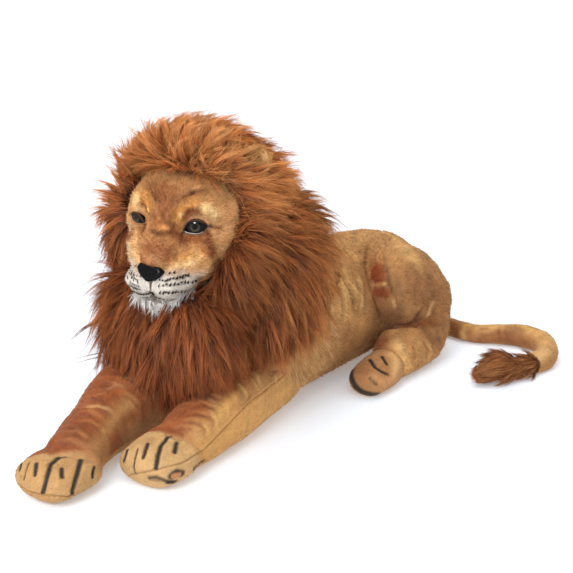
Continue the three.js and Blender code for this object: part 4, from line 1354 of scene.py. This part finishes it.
def eye_lids(side):
    """The lids and black lines round one eye, thinner towards their ends."""
    count = 48
    swell = np.sin(np.linspace(0.12, np.pi - 0.12, count)) ** 0.7
    for name, wide, high, low, up, radius, span, near_colour, far_colour in LIDS:
        line = eye_ring(wide, high if side > 0 else high * FAR_HIGH, low, up, *span, count)
        line = line if side > 0 else across_face(line)
        ob = tube(f"eye_{SIDES[side]}_{name}", line, radius * swell + 0.0002)
        set_tint(ob.data, lin(*(near_colour if side > 0 else far_colour)))
        worn(ob, plush_hair)


def nose_moulding():
    """The glossy nose, with its nostrils and the groove below its middle, set back a little to the right."""
    ob = skin(["nose"], 0.0011, 5)
    v, n = coords(ob.data), vertex_normals(ob.data)
    h = to_head(v)
    rise = np.full(len(v), 0.0006)
    nostril = np.array([[0.0085, -0.152, -0.0665], [0.0135, -0.150, -0.0625], [0.0190, -0.146, -0.058]])
    for side in SIDES:
        gap, _ = far_from(h, nostril * [side, 1, 1])
        rise -= 0.0036 * np.exp(-(gap / 0.0032) ** 2)
    gap, _ = far_from(h, [[0, -0.155, -0.056], [0, -0.154, -0.074]])
    rise -= 0.0016 * np.exp(-(gap / 0.0018) ** 2)
    h = to_head(v + n * rise[:, None])
    tip = ramp(-h[:, 2], 0.056, 0.080)
    h -= np.stack([0.0018 + 0.0042 * tip, 0.0030 * tip, 0.0012 + 0.0030 * ramp(h[:, 0], -0.004, 0.018)], 1)
    set_coords(ob.data, from_head(h))
    set_tint(ob.data, lin(12, 10, 10))
    ob.name = "nose_moulding"
    worn(ob, nose_gloss, ["nose"])


face_tree = head_skin()
near_eye = eye_ball(1)
eye_ball(-1)
for side in SIDES:
    eye_lids(side)
nose_moulding()
for name in ("nose_washer", "eye_washer_left", "eye_washer_right"):
    NODES[name].material_slots[0].material = washer_plastic


# Long pile
MANE = ["mane_hood", "mane_cape", "mane_bib"]
TOP = cad_box[1][2] + 0.0245  # the room that pile has, upwards and to the right
SIDEWAYS = 0.0150 - cad_box[0][0]
ONE_PIECE = 16000  # the most strands in one piece
LAYERS = {  # share of the guides, and how the strands round them grow
    "undercoat": dict(share=0.8, long=0.45, steps=5, each=10, radius=0.012, clump=0.30, lift=0.75, droop=0.35,
                      deep=0.010, curl=0.30, width=0.0014, roll=0.6, seed=1000, clear=0.0008),
    "pile": dict(share=1.10, long=1.0, steps=8, each=16, radius=0.0076, clump=0.74, lift=0.58, droop=0.5,
                 deep=0.013, curl=0.28, width=0.0009, roll=0.5, seed=2000, clear=0.0025),
    "flyaway": dict(share=0.75, long=1.10, steps=7, each=4, radius=0.009, clump=0.35, lift=0.88, droop=0.45,
                    deep=0.012, curl=0.40, width=0.0006, roll=0.6, seed=3000, clear=0.0025),
}


def crown_front(at):
    """1 where the mane stands up over the forehead."""
    h = to_head(at)
    return ramp(h[:, 2], 0.045, 0.085) * ramp(-h[:, 1], -0.05, 0.02) * ramp(-np.abs(h[:, 0]), -0.12, -0.07)


def backing(name):
    """The cloth and undercoat that the long pile grows from, dark as painted shade deep among the strands."""
    ob = skin([name], 0.006, 10)
    v, n = coords(ob.data), vertex_normals(ob.data)
    set_coords(ob.data, v - n * (0.011 + 0.003 * noise(v, 40, 51))[:, None])
    v = coords(ob.data)
    tint = mixed(lin(68, 34, 16), lin(104, 54, 27), ramp(noise(v, 60, 52), -0.4, 0.7))
    lighter = np.maximum(crown_front(v), ramp(v[:, 1], -0.22, -0.13))
    set_tint(ob.data, mixed(tint, lin(138, 84, 45), 0.9 * lighter))
    ob.name = f"{name}_backing"
    worn(ob, hair, [name])


def mane_way(at):
    """Which way the mane lies: out from the face, back over the crown and down the sides."""
    h = to_head(at)
    high = ramp(at[:, 2], 0.28, 0.48)
    front = ramp(-h[:, 1], -0.05, 0.06)
    far_low = ramp(at[:, 2], 0.40, 0.31) * ramp(-at[:, 0], 0.05, 0.10)
    far_high = ramp(h[:, 2], 0.02, 0.08) * ramp(-h[:, 0], 0.02, 0.09)
    way = unit(h * [1, 0, 1]) @ HEAD_AXES * (0.95 * front * (1 - 0.85 * far_low))[:, None]
    way += np.array([0, 1.0, 0]) * (0.25 + 0.75 * high)[:, None]
    way += BELOW * (1.15 - 0.85 * high - 0.9 * crown_front(at) + 1.0 * far_low)[:, None]
    way += np.array([0.40, 0, 0.80]) * far_high[:, None]
    fine = drift(at, 60, 67) * (0.15 + 0.45 * crown_front(at))[:, None]
    return unit(way + 0.48 * drift(at, 8, 61) + 0.336 * drift(at, 26, 64) + fine)


def mane_tints(at, owner, t, seed):
    """Colours along each strand: dark at the root, lighter at the tip, with golden locks above and behind."""
    r = rng(seed)
    count = len(owner)
    patch = noise(at, 11, 71)[owner] * 0.5 + 0.5
    lock = (r.random(len(at)) ** 1.3)[owner]
    own = r.random(count)
    h = to_head(at)
    crown = 1.5 * ramp(at[:, 2], 0.38, 0.52) + 0.85 * ramp(at[:, 1], -0.25, -0.06)
    crown = crown + 0.4 * ramp(-h[:, 0], 0.09, 0.15)
    # painted shade low on the chest and under the chin, where the head hangs over the mane
    chest_shade = ramp(at[:, 2], 0.34, 0.18) * ramp(-h[:, 1], -0.08, 0.04)
    chest_shade = (chest_shade + 0.8 * ramp(-h[:, 1], 0.0, 0.05) * ramp(h[:, 2], 0.03, -0.05))[owner]
    crown = crown[owner]
    gold = (0.85 * ramp(at[:, 1] + 0.02 * noise(at, 20, 72), -0.21, -0.11))[owner]
    front = (0.8 * crown_front(at))[owner]
    root = mixed(lin(62, 27, 11), lin(96, 46, 20), 0.5 * lock + 0.5 * own)
    root = mixed(root, lin(122, 74, 40), np.maximum(gold, front))
    light = np.clip(0.22 * patch + 0.30 * lock + 0.25 * own + 0.40 * crown - 0.16 * chest_shade, 0, 1)
    mid = mixed(lin(112, 54, 24), lin(184, 112, 60), light)
    mid = mixed(mid, mixed(lin(150, 98, 56), lin(190, 134, 82), own), gold)
    light = np.clip(0.40 * own + 0.32 * lock + 0.45 * crown - 0.22 * chest_shade, 0, 1)
    tip = mixed(lin(150, 84, 42), lin(230, 172, 110), light)
    tip = mixed(tip, mixed(lin(196, 142, 88), lin(232, 184, 128), own), gold)
    tip = mixed(tip, mixed(lin(186, 134, 90), lin(226, 180, 134), own), 0.6 * front)
    # locks lighter and darker than their neighbours, partly as painted shade between them, and painted shade
    # beside the right cheek
    depth = rng(seed + 1).choice([0.68, 0.92, 1.08, 1.26], len(at))[owner]
    depth = depth * rng(seed + 2).uniform(0.88, 1.12, count)
    cheek_shade = 0.16 * ramp(h[:, 0], 0.05, 0.10) * ramp(-h[:, 1], -0.06, 0.02)
    cheek_shade = (cheek_shade * ramp(h[:, 2], 0.05, 0.0) * ramp(h[:, 2], -0.16, -0.10))[owner]
    warmth = np.array([1.07, 0.965, 0.80]) * (depth * (1 - cheek_shade))[:, None]
    warmth = warmth + front[:, None] * [0.10, 0.20, 0.24]
    t = t[None, :, None]
    low = np.clip(t / 0.4, 0, 1)
    up = np.clip((t - 0.4) / 0.6, 0, 1) ** 1.4
    return ((root[:, None] * (1 - low) + mid[:, None] * low) * (1 - up) + tip[:, None] * up) * warmth[:, None]


def grow(name, at, n, way, lengths, spec, tints=mane_tints, material=hair, body=BODY):
    """Locks of strands, as one or more pieces of real ribbons."""
    steps, seed = spec["steps"], spec["seed"]
    r = rng(seed)
    lift = spec["lift"] * r.uniform(0.6, 1.4, len(at)) * (1 + 0.7 * crown_front(at))
    droop = spec["droop"] * r.uniform(0.6, 1.4, len(at))
    root = at - n * (spec["deep"] * r.uniform(0.5, 1.1, len(at)))[:, None]
    guides = locks(root, n, way, lengths, lift, droop, steps, spec["curl"], seed + 1)
    radius = spec["radius"] * r.uniform(0.7, 1.3, len(at))
    lines, owner = children(guides, n, spec["each"], radius, spec["clump"], seed + 2)
    # tips bend over before they leave the room that pile has, and rest on the floor
    lines[..., 2] = np.maximum(bent(lines[..., 2], TOP - 0.026, TOP), 0.0015)
    lines[..., 0] = -bent(-lines[..., 0], SIDEWAYS - 0.020, SIDEWAYS)
    colours = tints(at, owner, np.linspace(0, 1, steps), seed + 3)
    width = spec["width"] * rng(seed + 4).uniform(0.7, 1.3, len(lines))
    for k, low in enumerate(range(0, len(lines), ONE_PIECE)):
        part = slice(low, low + ONE_PIECE)
        ob = ribbons(f"{name}_{k + 1}", lines[part], n[owner[part]], width[part], colours[part],
                     spec["roll"], seed + 5 + k)
        worn(ob, material, body=body)


def trimmed(at):
    """Shorter pile round and above the ears and at the cape's rear edge, longer pile low on the far side."""
    h = to_head(at)
    near = np.full(len(at), 1.0)
    for side in SIDES:
        gap = h - EAR_AT * [side, 1, 1]
        near = np.minimum(near, np.linalg.norm(gap, axis=1) + 0.055 * ramp(-gap[:, 2], -0.006, 0.010))
    far_high = ramp(at[:, 2], 0.37, 0.43) * ramp(-at[:, 0], 0.05, 0.10)
    far_low = ramp(at[:, 2], 0.27, 0.19) * ramp(-at[:, 0], 0.05, 0.09)
    upper, lower = 0.45 * ramp(at[:, 1], -0.10, 0.0), 0.62 * ramp(at[:, 1], -0.21, -0.06)
    rear = 1 - np.where(at[:, 2] > 0.33, upper, lower)
    return (0.22 + 0.78 * ramp(near, 0.030, 0.085)) * rear * (1 - 0.10 * far_high) * (1 + 0.35 * far_low)


def clear_of_leg(at):
    """The longest that pile may be over the near foreleg."""
    over = ramp(at[:, 0], 0.035, 0.065) * ramp(at[:, 1], -0.50, -0.45)
    return np.where(over > 0, (np.maximum(at[:, 2] - 0.118, 0) * 1.05 + 0.014) / np.maximum(over, 0.01), 1.0)


def clear_of(tree, at, gap):
    """Which points lie further than a gap from a surface."""
    return np.array([tree.find_nearest(Vector(p))[3] > gap for p in at])


def mane():
    """Long pile on the outside of each piece of the mane, where nothing else lies against it."""
    solid = tree_of_nodes([k for k in NODES if k not in MANE and not k.startswith(("eye", "nose", "tail"))])
    for k, (name, count, long) in enumerate(zip(MANE, (4600, 2900, 1900), (0.078, 0.104, 0.094))):
        backing(name)
        others = tree_of_nodes([other for other in MANE if other != name])
        for layer, spec in LAYERS.items():
            seed = spec["seed"] + 100 * k
            at, n = strewn([name], int(count * spec["share"] * FEW), seed)
            keep = clear_of(solid, at, spec["clear"]) & clear_of(others, at, spec["clear"])
            at, n = at[keep], n[keep]
            n = smoothed_normals(at, n)
            lengths = long * spec["long"] * rng(seed + 9).uniform(0.62, 1.2, len(at)) * trimmed(at)
            lengths = np.minimum(lengths, clear_of_leg(at))
            grow(f"{name}_{layer}", at, n, mane_way(at), lengths, dict(spec, seed=seed + 10))


def flank_pile():
    """Wavy golden pile where the cape runs out over the flanks, shorter the further back."""
    at, n = strewn(["torso"], int(9000 * FEW), 4300)
    px = pixels(np.where(at[:, :1] < 0, across_body(at), at))
    back = px[:, 0] + 0.22 * (px[:, 1] - 280) + 10 * noise(at, 22, 95)
    keep = (back > 285) & (back < 362) & (at[:, 2] > 0.05) & (at[:, 1] < 0.06) & (at[:, 1] > -0.24)
    keep &= clear_of(tree_of_nodes(MANE), at, 0.002)
    at, n, back = at[keep], smoothed_normals(at[keep], n[keep], 0.012), back[keep]
    way = np.array([[0, 0.55, -0.85]]) + 0.55 * drift(at, 16, 96)
    lengths = (0.012 + 0.034 * ramp(back, 358, 318)) * rng(4302).uniform(0.7, 1.2, len(at))
    spec = dict(steps=7, each=8, radius=0.006, clump=0.6, lift=0.22, droop=0.10, deep=0.0, curl=0.14,
                width=0.0009, roll=0.4, seed=4310)

    def tints(at, owner, t, seed):
        own = 0.6 * rng(seed).random(len(owner)) + 0.4 * rng(seed + 1).random(len(at))[owner]
        root = mixed(lin(150, 98, 54), lin(190, 138, 82), own)
        return along_strand(root, mixed(lin(196, 146, 90), lin(240, 200, 142), own), t)

    grow("flank_pile", at, n, way, lengths, spec, tints)


def fringe():
    """Hairs where the face's pile runs into the mane, longer the further they stand from the face."""
    at, n = strewn(["head", "neck"], int(9000 * FEW), 4000)
    h = to_head(at)
    away = beyond_face(at)
    keep = (away > 0.5) & (h[:, 1] < 0.045) & (h[:, 2] > -0.17)
    at, n, away, h = at[keep], n[keep], away[keep], h[keep]
    n = smoothed_normals(at, n, 0.012)
    out = unit(h * [1, 0, 1]) @ HEAD_AXES
    rising = 1.4 * ramp(h[:, 2], 0.04, 0.09) - 0.9 * ramp(h[:, 2], 0.02, -0.05)
    way = out - BELOW * rising[:, None] + 0.25 * FACE_AXIS + 0.30 * rng(4001).normal(0, 1, (len(at), 3))
    lengths = (0.012 + 0.046 * ramp(away, 0, 11)) * rng(4002).uniform(0.7, 1.2, len(at))
    spec = dict(steps=6, each=9, radius=0.005, clump=0.5, lift=0.60, droop=0.30, deep=0.001, curl=0.22,
                width=0.0008, roll=0.5, seed=4010)

    def tints(at, owner, t, seed):
        own = 0.6 * rng(seed).random(len(owner)) + 0.4 * rng(seed + 1).random(len(at))[owner]
        near = (ramp(beyond_face(at), 5, 0) * ramp(to_head(at)[:, 2], -0.01, 0.04))[owner]
        near = np.maximum(near, 0.9 * crown_front(at)[owner])
        root = mixed(mixed(lin(70, 32, 13), lin(110, 54, 25), own), lin(124, 76, 44), near)
        golden = mixed(lin(158, 102, 60), lin(196, 138, 88), own)
        return along_strand(root, mixed(mixed(lin(128, 66, 31), lin(176, 104, 56), own), golden, near), t)

    grow("face_fringe", at, n, way, lengths, spec, tints=tints)


def ear_fur(side):
    """Golden fur round an ear's rim, and dark hairs in its hollow."""
    name = f"ear_{SIDES[side]}"
    at, n = strewn([name], int(330 * FEW), 4100)
    n = smoothed_normals(at, n, 0.010)
    h = (to_head(at) - EAR_AT * [side, 1, 1]) * [side, 1, 1]
    hollow = (h[:, 1] < 0) & (np.hypot(h[:, 0] + 0.006, 0.8 * h[:, 2]) < 0.011)
    stalk = unit(EAR_AT * [side, 1, 1]) @ HEAD_AXES
    way = np.tile(stalk, (len(at), 1)) + 0.35 * rng(4101).normal(0, 1, (len(at), 3)) + 0.4 * HEAD_AXES[1]
    lengths = np.where(hollow, 0.014, 0.016) * rng(4102).uniform(0.7, 1.2, len(at))
    spec = dict(steps=5, each=12, radius=0.004, clump=0.4, lift=0.35, droop=0.15, deep=0.002, curl=0.2,
                width=0.0007, roll=0.5, seed=4110 + 20 * (side < 0))

    def tints(at, owner, t, seed):
        own = rng(seed).random(len(owner))
        dark = hollow[owner].astype(float)
        low = ramp(-h[owner, 2], -0.002, 0.012)
        root = mixed(mixed(lin(136, 82, 40), lin(172, 114, 60), own), lin(104, 54, 26), low)
        tip = mixed(mixed(lin(202, 148, 86), lin(234, 184, 116), own), lin(160, 98, 54), low)
        return along_strand(mixed(root, lin(40, 23, 13), dark), mixed(tip, lin(74, 43, 23), dark), t)

    grow(f"{name}_fur", at, n, way, lengths, spec, tints=tints)


mane()
flank_pile()
fringe()
for side in SIDES:
    ear_fur(side)


# Marks on the muzzle, as flat ribbons a little above its cloth, and the chin's tuft
ABOVE_CLOTH = 0.0026


def whisker_marks():
    """Short dark dashes in rows on the muzzle, mirrored to its far side."""
    rows = [  # the ends of each row, its number of dashes, and half a dash in pixels
        ((170, 273.5), (174.6, 272.6), 2, 2.0), ((168, 280.6), (188.6, 275.0), 8, 2.4),
        ((160.5, 280.2), (166, 281.0), 3, 1.4), ((160.5, 285.4), (195, 281.4), 11, 2.2),
        ((161, 291.8), (184, 290.4), 9, 1.9)]
    r = rng(4200)
    lines, normals, width = [], [], []
    for a, b, count, long in rows:
        for k in range(count):
            p = np.array(a) + (np.array(b) - a) * k / max(count - 1, 1) + r.normal(0, 0.3, 2)
            d = np.array([0.42, -0.90]) * long * r.uniform(0.8, 1.3)
            if count > 7 and k % 4 == 2:  # now and then one lies flat
                d = np.array([0.95, -0.30]) * long * 0.8
            wide = r.uniform(0.0030, 0.0040)
            hits = [seen(face_tree, *q) for q in (p - d, p, p + d)]
            if all(hit[0] is not None for hit in hits):
                n = np.array(hits[1][1])
                lines.append([np.array(hit[0]) + n * ABOVE_CLOTH for hit in hits])
                normals.append(n)
                width.append(wide)
    lines, normals, width = np.array(lines), np.array(normals), np.array(width)
    for side, name in SIDES.items():
        if side < 0:
            lines = across_face(lines.reshape(-1, 3)).reshape(lines.shape)
            normals = (normals @ HEAD_AXES.T * [-1, 1, 1]) @ HEAD_AXES
            width = width * 0.55
        a, b, c = lines[:, 0], lines[:, 1], lines[:, 2]
        fine = np.stack([a, 0.5 * (a + b), b, 0.5 * (b + c), c], 1)
        tints = np.tile(lin(50, 43, 40), (len(fine), 5, 1))
        ob = ribbons(f"whisker_marks_{name}", fine, normals, width, tints, 0.0, 4201)
        worn(ob, white_hair)


def lips():
    """The printed line of the mouth, black in its middle and grey towards the near cheek."""
    line = thick(np.array([
        (134.5, 290), (138, 292.4), (143, 293.8), (148, 293.2), (151.6, 291.4), (154.5, 294.6),
        (159, 297.2), (166, 299), (173, 298.6), (180, 296.6), (186, 293.4), (190, 290)]))
    hits = [seen(face_tree, *q) for q in line]
    good = [k for k, hit in enumerate(hits) if hit[0] is not None]
    at, n = (np.array([hits[k][i] for k in good]) for i in (0, 1))
    n = smoothed_normals(at, n, 0.008)
    at = at + n * ABOVE_CLOTH
    a, b = at[:-1], at[1:]
    joined = np.linalg.norm(b - a, axis=1) < 0.02
    grey = ramp(line[good, 0], 155, 166)[:-1][joined]
    stretches = np.stack([a, 0.5 * (a + b), b], 1)[joined]
    tints = np.repeat(mixed(lin(24, 19, 17), lin(92, 80, 72), grey)[:, None], 3, 1)
    ob = ribbons("lip_line", stretches, n[:-1][joined], 0.0058 - 0.0022 * grey, tints, 0.0, 4205)
    worn(ob, white_hair)


def chin_tuft():
    """White pile that hangs from the chin, longer at its sides and rear."""
    found = [face_tree.find_nearest(Vector(p)) for p in strewn(["chin", "muzzle"], 2600, 401)[0]]
    at, n = np.array([f[0] for f in found]), np.array([f[1] for f in found])
    h = to_head(at)
    wide = ramp(np.abs(h[:, 0]), 0.022, 0.045)
    low = (h[:, 2] < -0.109 + 0.016 * wide) & (h[:, 1] > -0.142 + 0.02 * wide)
    low &= (h[:, 1] < -0.065) & (np.abs(h[:, 0]) < 0.056)
    at, n, h = at[low], n[low], h[low]
    scatter = rng(402).normal(0, 1, (len(at), 3)) * [1, 0.5, 0.3]
    way = BELOW + 0.45 * FACE_AXIS + 0.22 * h[:, :1] * HEAD_AXES[0] / 0.05 + 0.26 * scatter
    fall = 0.014 + 0.030 * ramp(-h[:, 1], 0.145, 0.105)
    sides = np.abs(np.abs(h[:, 0]) - 0.006 * np.sign(h[:, 0])) / 0.046
    lengths = fall * rng(403).uniform(0.45, 1.25, len(at)) * (0.70 + 0.55 * sides)
    spec = dict(steps=6, each=11, radius=0.0042, clump=0.72, lift=0.16, droop=0.70, deep=0.002, curl=0.12,
                width=0.0009, roll=0.5, seed=404)

    def tints(at, owner, t, seed):
        own = rng(seed).random(len(owner))
        return mixed(lin(238, 231, 223), lin(254, 252, 249), own)[:, None] * (0.90 + 0.10 * t)[None, :, None]

    grow("chin_tuft", at, n, way, lengths, spec, tints, white_hair)


whisker_marks()
lips()
chin_tuft()


# Tail
def tail_skin():
    """The tail and its short plush."""
    ob = skin(["tail"], 0.0036, 8)
    v = coords(ob.data)  # its upper side slopes down to the rump
    v[:, 2] -= 0.012 * ramp(v[:, 0], 0.30, 0.18) * ramp(v[:, 2], 0.0, 0.030)
    set_coords(ob.data, v)
    coat = Coat(ob, lin(168, 118, 70))
    v, n = coat.v, coat.n
    coat.rise += 0.0018 * noise(v, 24, 81) + 0.0010 * noise(v, 60, 82) + 0.0008
    # paler where it faces up: painted light from above
    coat.wash(PALE, 0.6 * ramp(n[:, 2], 0.0, 0.9))
    coat.wash(BROWN, 0.7 * ramp(noise(v, 18, 83), -0.1, 0.5))
    coat.spray([(452, 324), (457, 330), (460, 336)], 0.013, lin(124, 76, 38), 0.85, hard=3)
    coat.spray([(463, 333), (465, 340)], 0.008, lin(214, 170, 112), 0.85)
    coat.spray([(455, 343), (480, 341), (505, 340), (524, 343), (532, 348)], 0.010, lin(140, 88, 50), 0.75)
    coat.spray([(484, 337), (498, 333), (512, 336), (524, 343)], 0.006, lin(154, 100, 58), 0.7)
    coat.spray([(499, 331), (500, 339)], 0.0055, lin(132, 78, 42), 0.8)
    coat.spray([(505, 331), (507, 339)], 0.0040, lin(132, 78, 42), 0.7)
    coat.spray([(466, 326), (490, 324), (515, 324), (534, 330)], 0.007, lin(206, 164, 96), 0.75)
    coat.spray([(476, 329), (492, 329)], 0.004, lin(150, 98, 52), 0.6, ends=0.3)
    coat.spray([(532, 352), (540, 356), (546, 350)], 0.012, lin(206, 168, 118), 0.8)
    coat.tint *= (1 + 0.12 * noise(v, 70, 84) + 0.10 * noise(v, 170, 85))[:, None]
    coat.done()
    ob.name = "tail_skin"
    worn(ob, short_pile, ["tail"], None)
    x, y, z = TAIL_ROOT
    for piece in (ob, plush(ob, "tail_plush", 110000, lies(0.3, 0.6, -0.3), 0.0050, 3400, body=None)):
        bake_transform(piece)


def tuft():
    """The tuft's backing and its long pile, which all points to its tip."""
    ob = skin(["tail_tuft"], 0.0036, 6)
    set_coords(ob.data, coords(ob.data) - vertex_normals(ob.data) * 0.006)
    # dark backing: painted shade deep in the tuft
    set_tint(ob.data, lin(96, 48, 24))
    ob.name = "tail_tuft_backing"
    worn(ob, hair, ["tail_tuft"], "tuft")
    low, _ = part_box("tail_tuft")
    tip = np.array([low[0] + 0.012, low[1] + 0.01, 0.02])
    axis = unit(tip - TUFT_ROOT)
    at, n = strewn(["tail_tuft"], 330, 501)
    free = (at[:, 2] > 0.004) & (n @ axis > -0.80)
    at, n = at[free], n[free]
    n = smoothed_normals(at, n, 0.012)
    way = np.tile(axis, (len(at), 1)) + 0.10 * rng(502).normal(0, 1, (len(at), 3))
    left = np.linalg.norm(tip - at, axis=1)
    lengths = np.minimum(0.062, 0.25 * left + 0.022) * rng(503).uniform(0.8, 1.1, len(at))
    spec = dict(steps=6, each=22, radius=0.008, clump=0.55, lift=0.25, droop=0.15, deep=0.008, curl=0.12,
                width=0.0009, roll=0.5, seed=504)

    def tints(at, owner, t, seed):
        own = rng(seed).random(len(owner))
        root = mixed(lin(104, 54, 26), lin(140, 80, 42), own)
        return along_strand(root, mixed(lin(156, 92, 50), lin(212, 148, 92), own), t ** 1.2)

    grow("tail_tuft_pile", at, n, way, lengths, spec, tints=tints, body="tuft")


tail_skin()
tuft()


# Floor and light
def make_stage():
    """A white table top that gives off a little light."""
    half = 60
    corners = [(-half, -half, 0), (half, -half, 0), (half, half, 0), (-half, half, 0)]
    floor = new_object("floor", corners, [(0, 1, 2, 3)])
    floor.location.z = -0.0008
    mat, shader = new_material("floor")
    dial(shader, Base_Color=(0.84, 0.91, 1.0, 1), Roughness=0.9, Specular_IOR_Level=0.1)
    dial(shader, Emission_Color=(1, 1, 1, 1), Emission_Strength=0.22)
    floor.data.materials.append(mat)


def make_light(name, at, aim, power, size=None, angle=None):
    """A round soft box of a size, or a far soft sky light of an angle."""
    data = bpy.data.lights.new(name, "AREA" if size else "SUN")
    if size:
        data.shape = "DISK"
        data.size = size
    else:
        data.angle = np.radians(angle)
    data.energy = power
    return aimed(bpy.data.objects.new(name, data), at, Vector(aim) - Vector(at))


def catch_place():
    """The highlight's place on the near eye, up and left of its pupil, and where its lamp stands."""
    v, n = coords(near_eye.data), vertex_normals(near_eye.data)
    k = np.argmin(np.linalg.norm(pixels(v) - [194.3, 222.2], axis=1))
    back = unit(EYE - v[k])
    return v[k], v[k] + 2.0 * (2 * (n[k] @ back) * n[k] - back)


def make_lights():
    world = bpy.data.worlds.new("studio")
    world.use_nodes = True
    dial(world.node_tree.nodes["Background"], Color=(1, 1, 1, 1), Strength=0.78)
    bpy.context.scene.world = world
    make_light("sky", (-0.6, -0.9, 2.4), (0, 0, 0), 1.42, angle=75)
    make_light("front", (0.6, -3.1, 2.1), (0, -0.1, 0.2), 38, 1.4)
    eye, lamp = catch_place()
    make_light("catch", lamp, eye, 100, 0.55).visible_diffuse = False
    bpy.context.scene.view_settings.view_transform = "Standard"


make_camera()
make_stage()
make_lights()
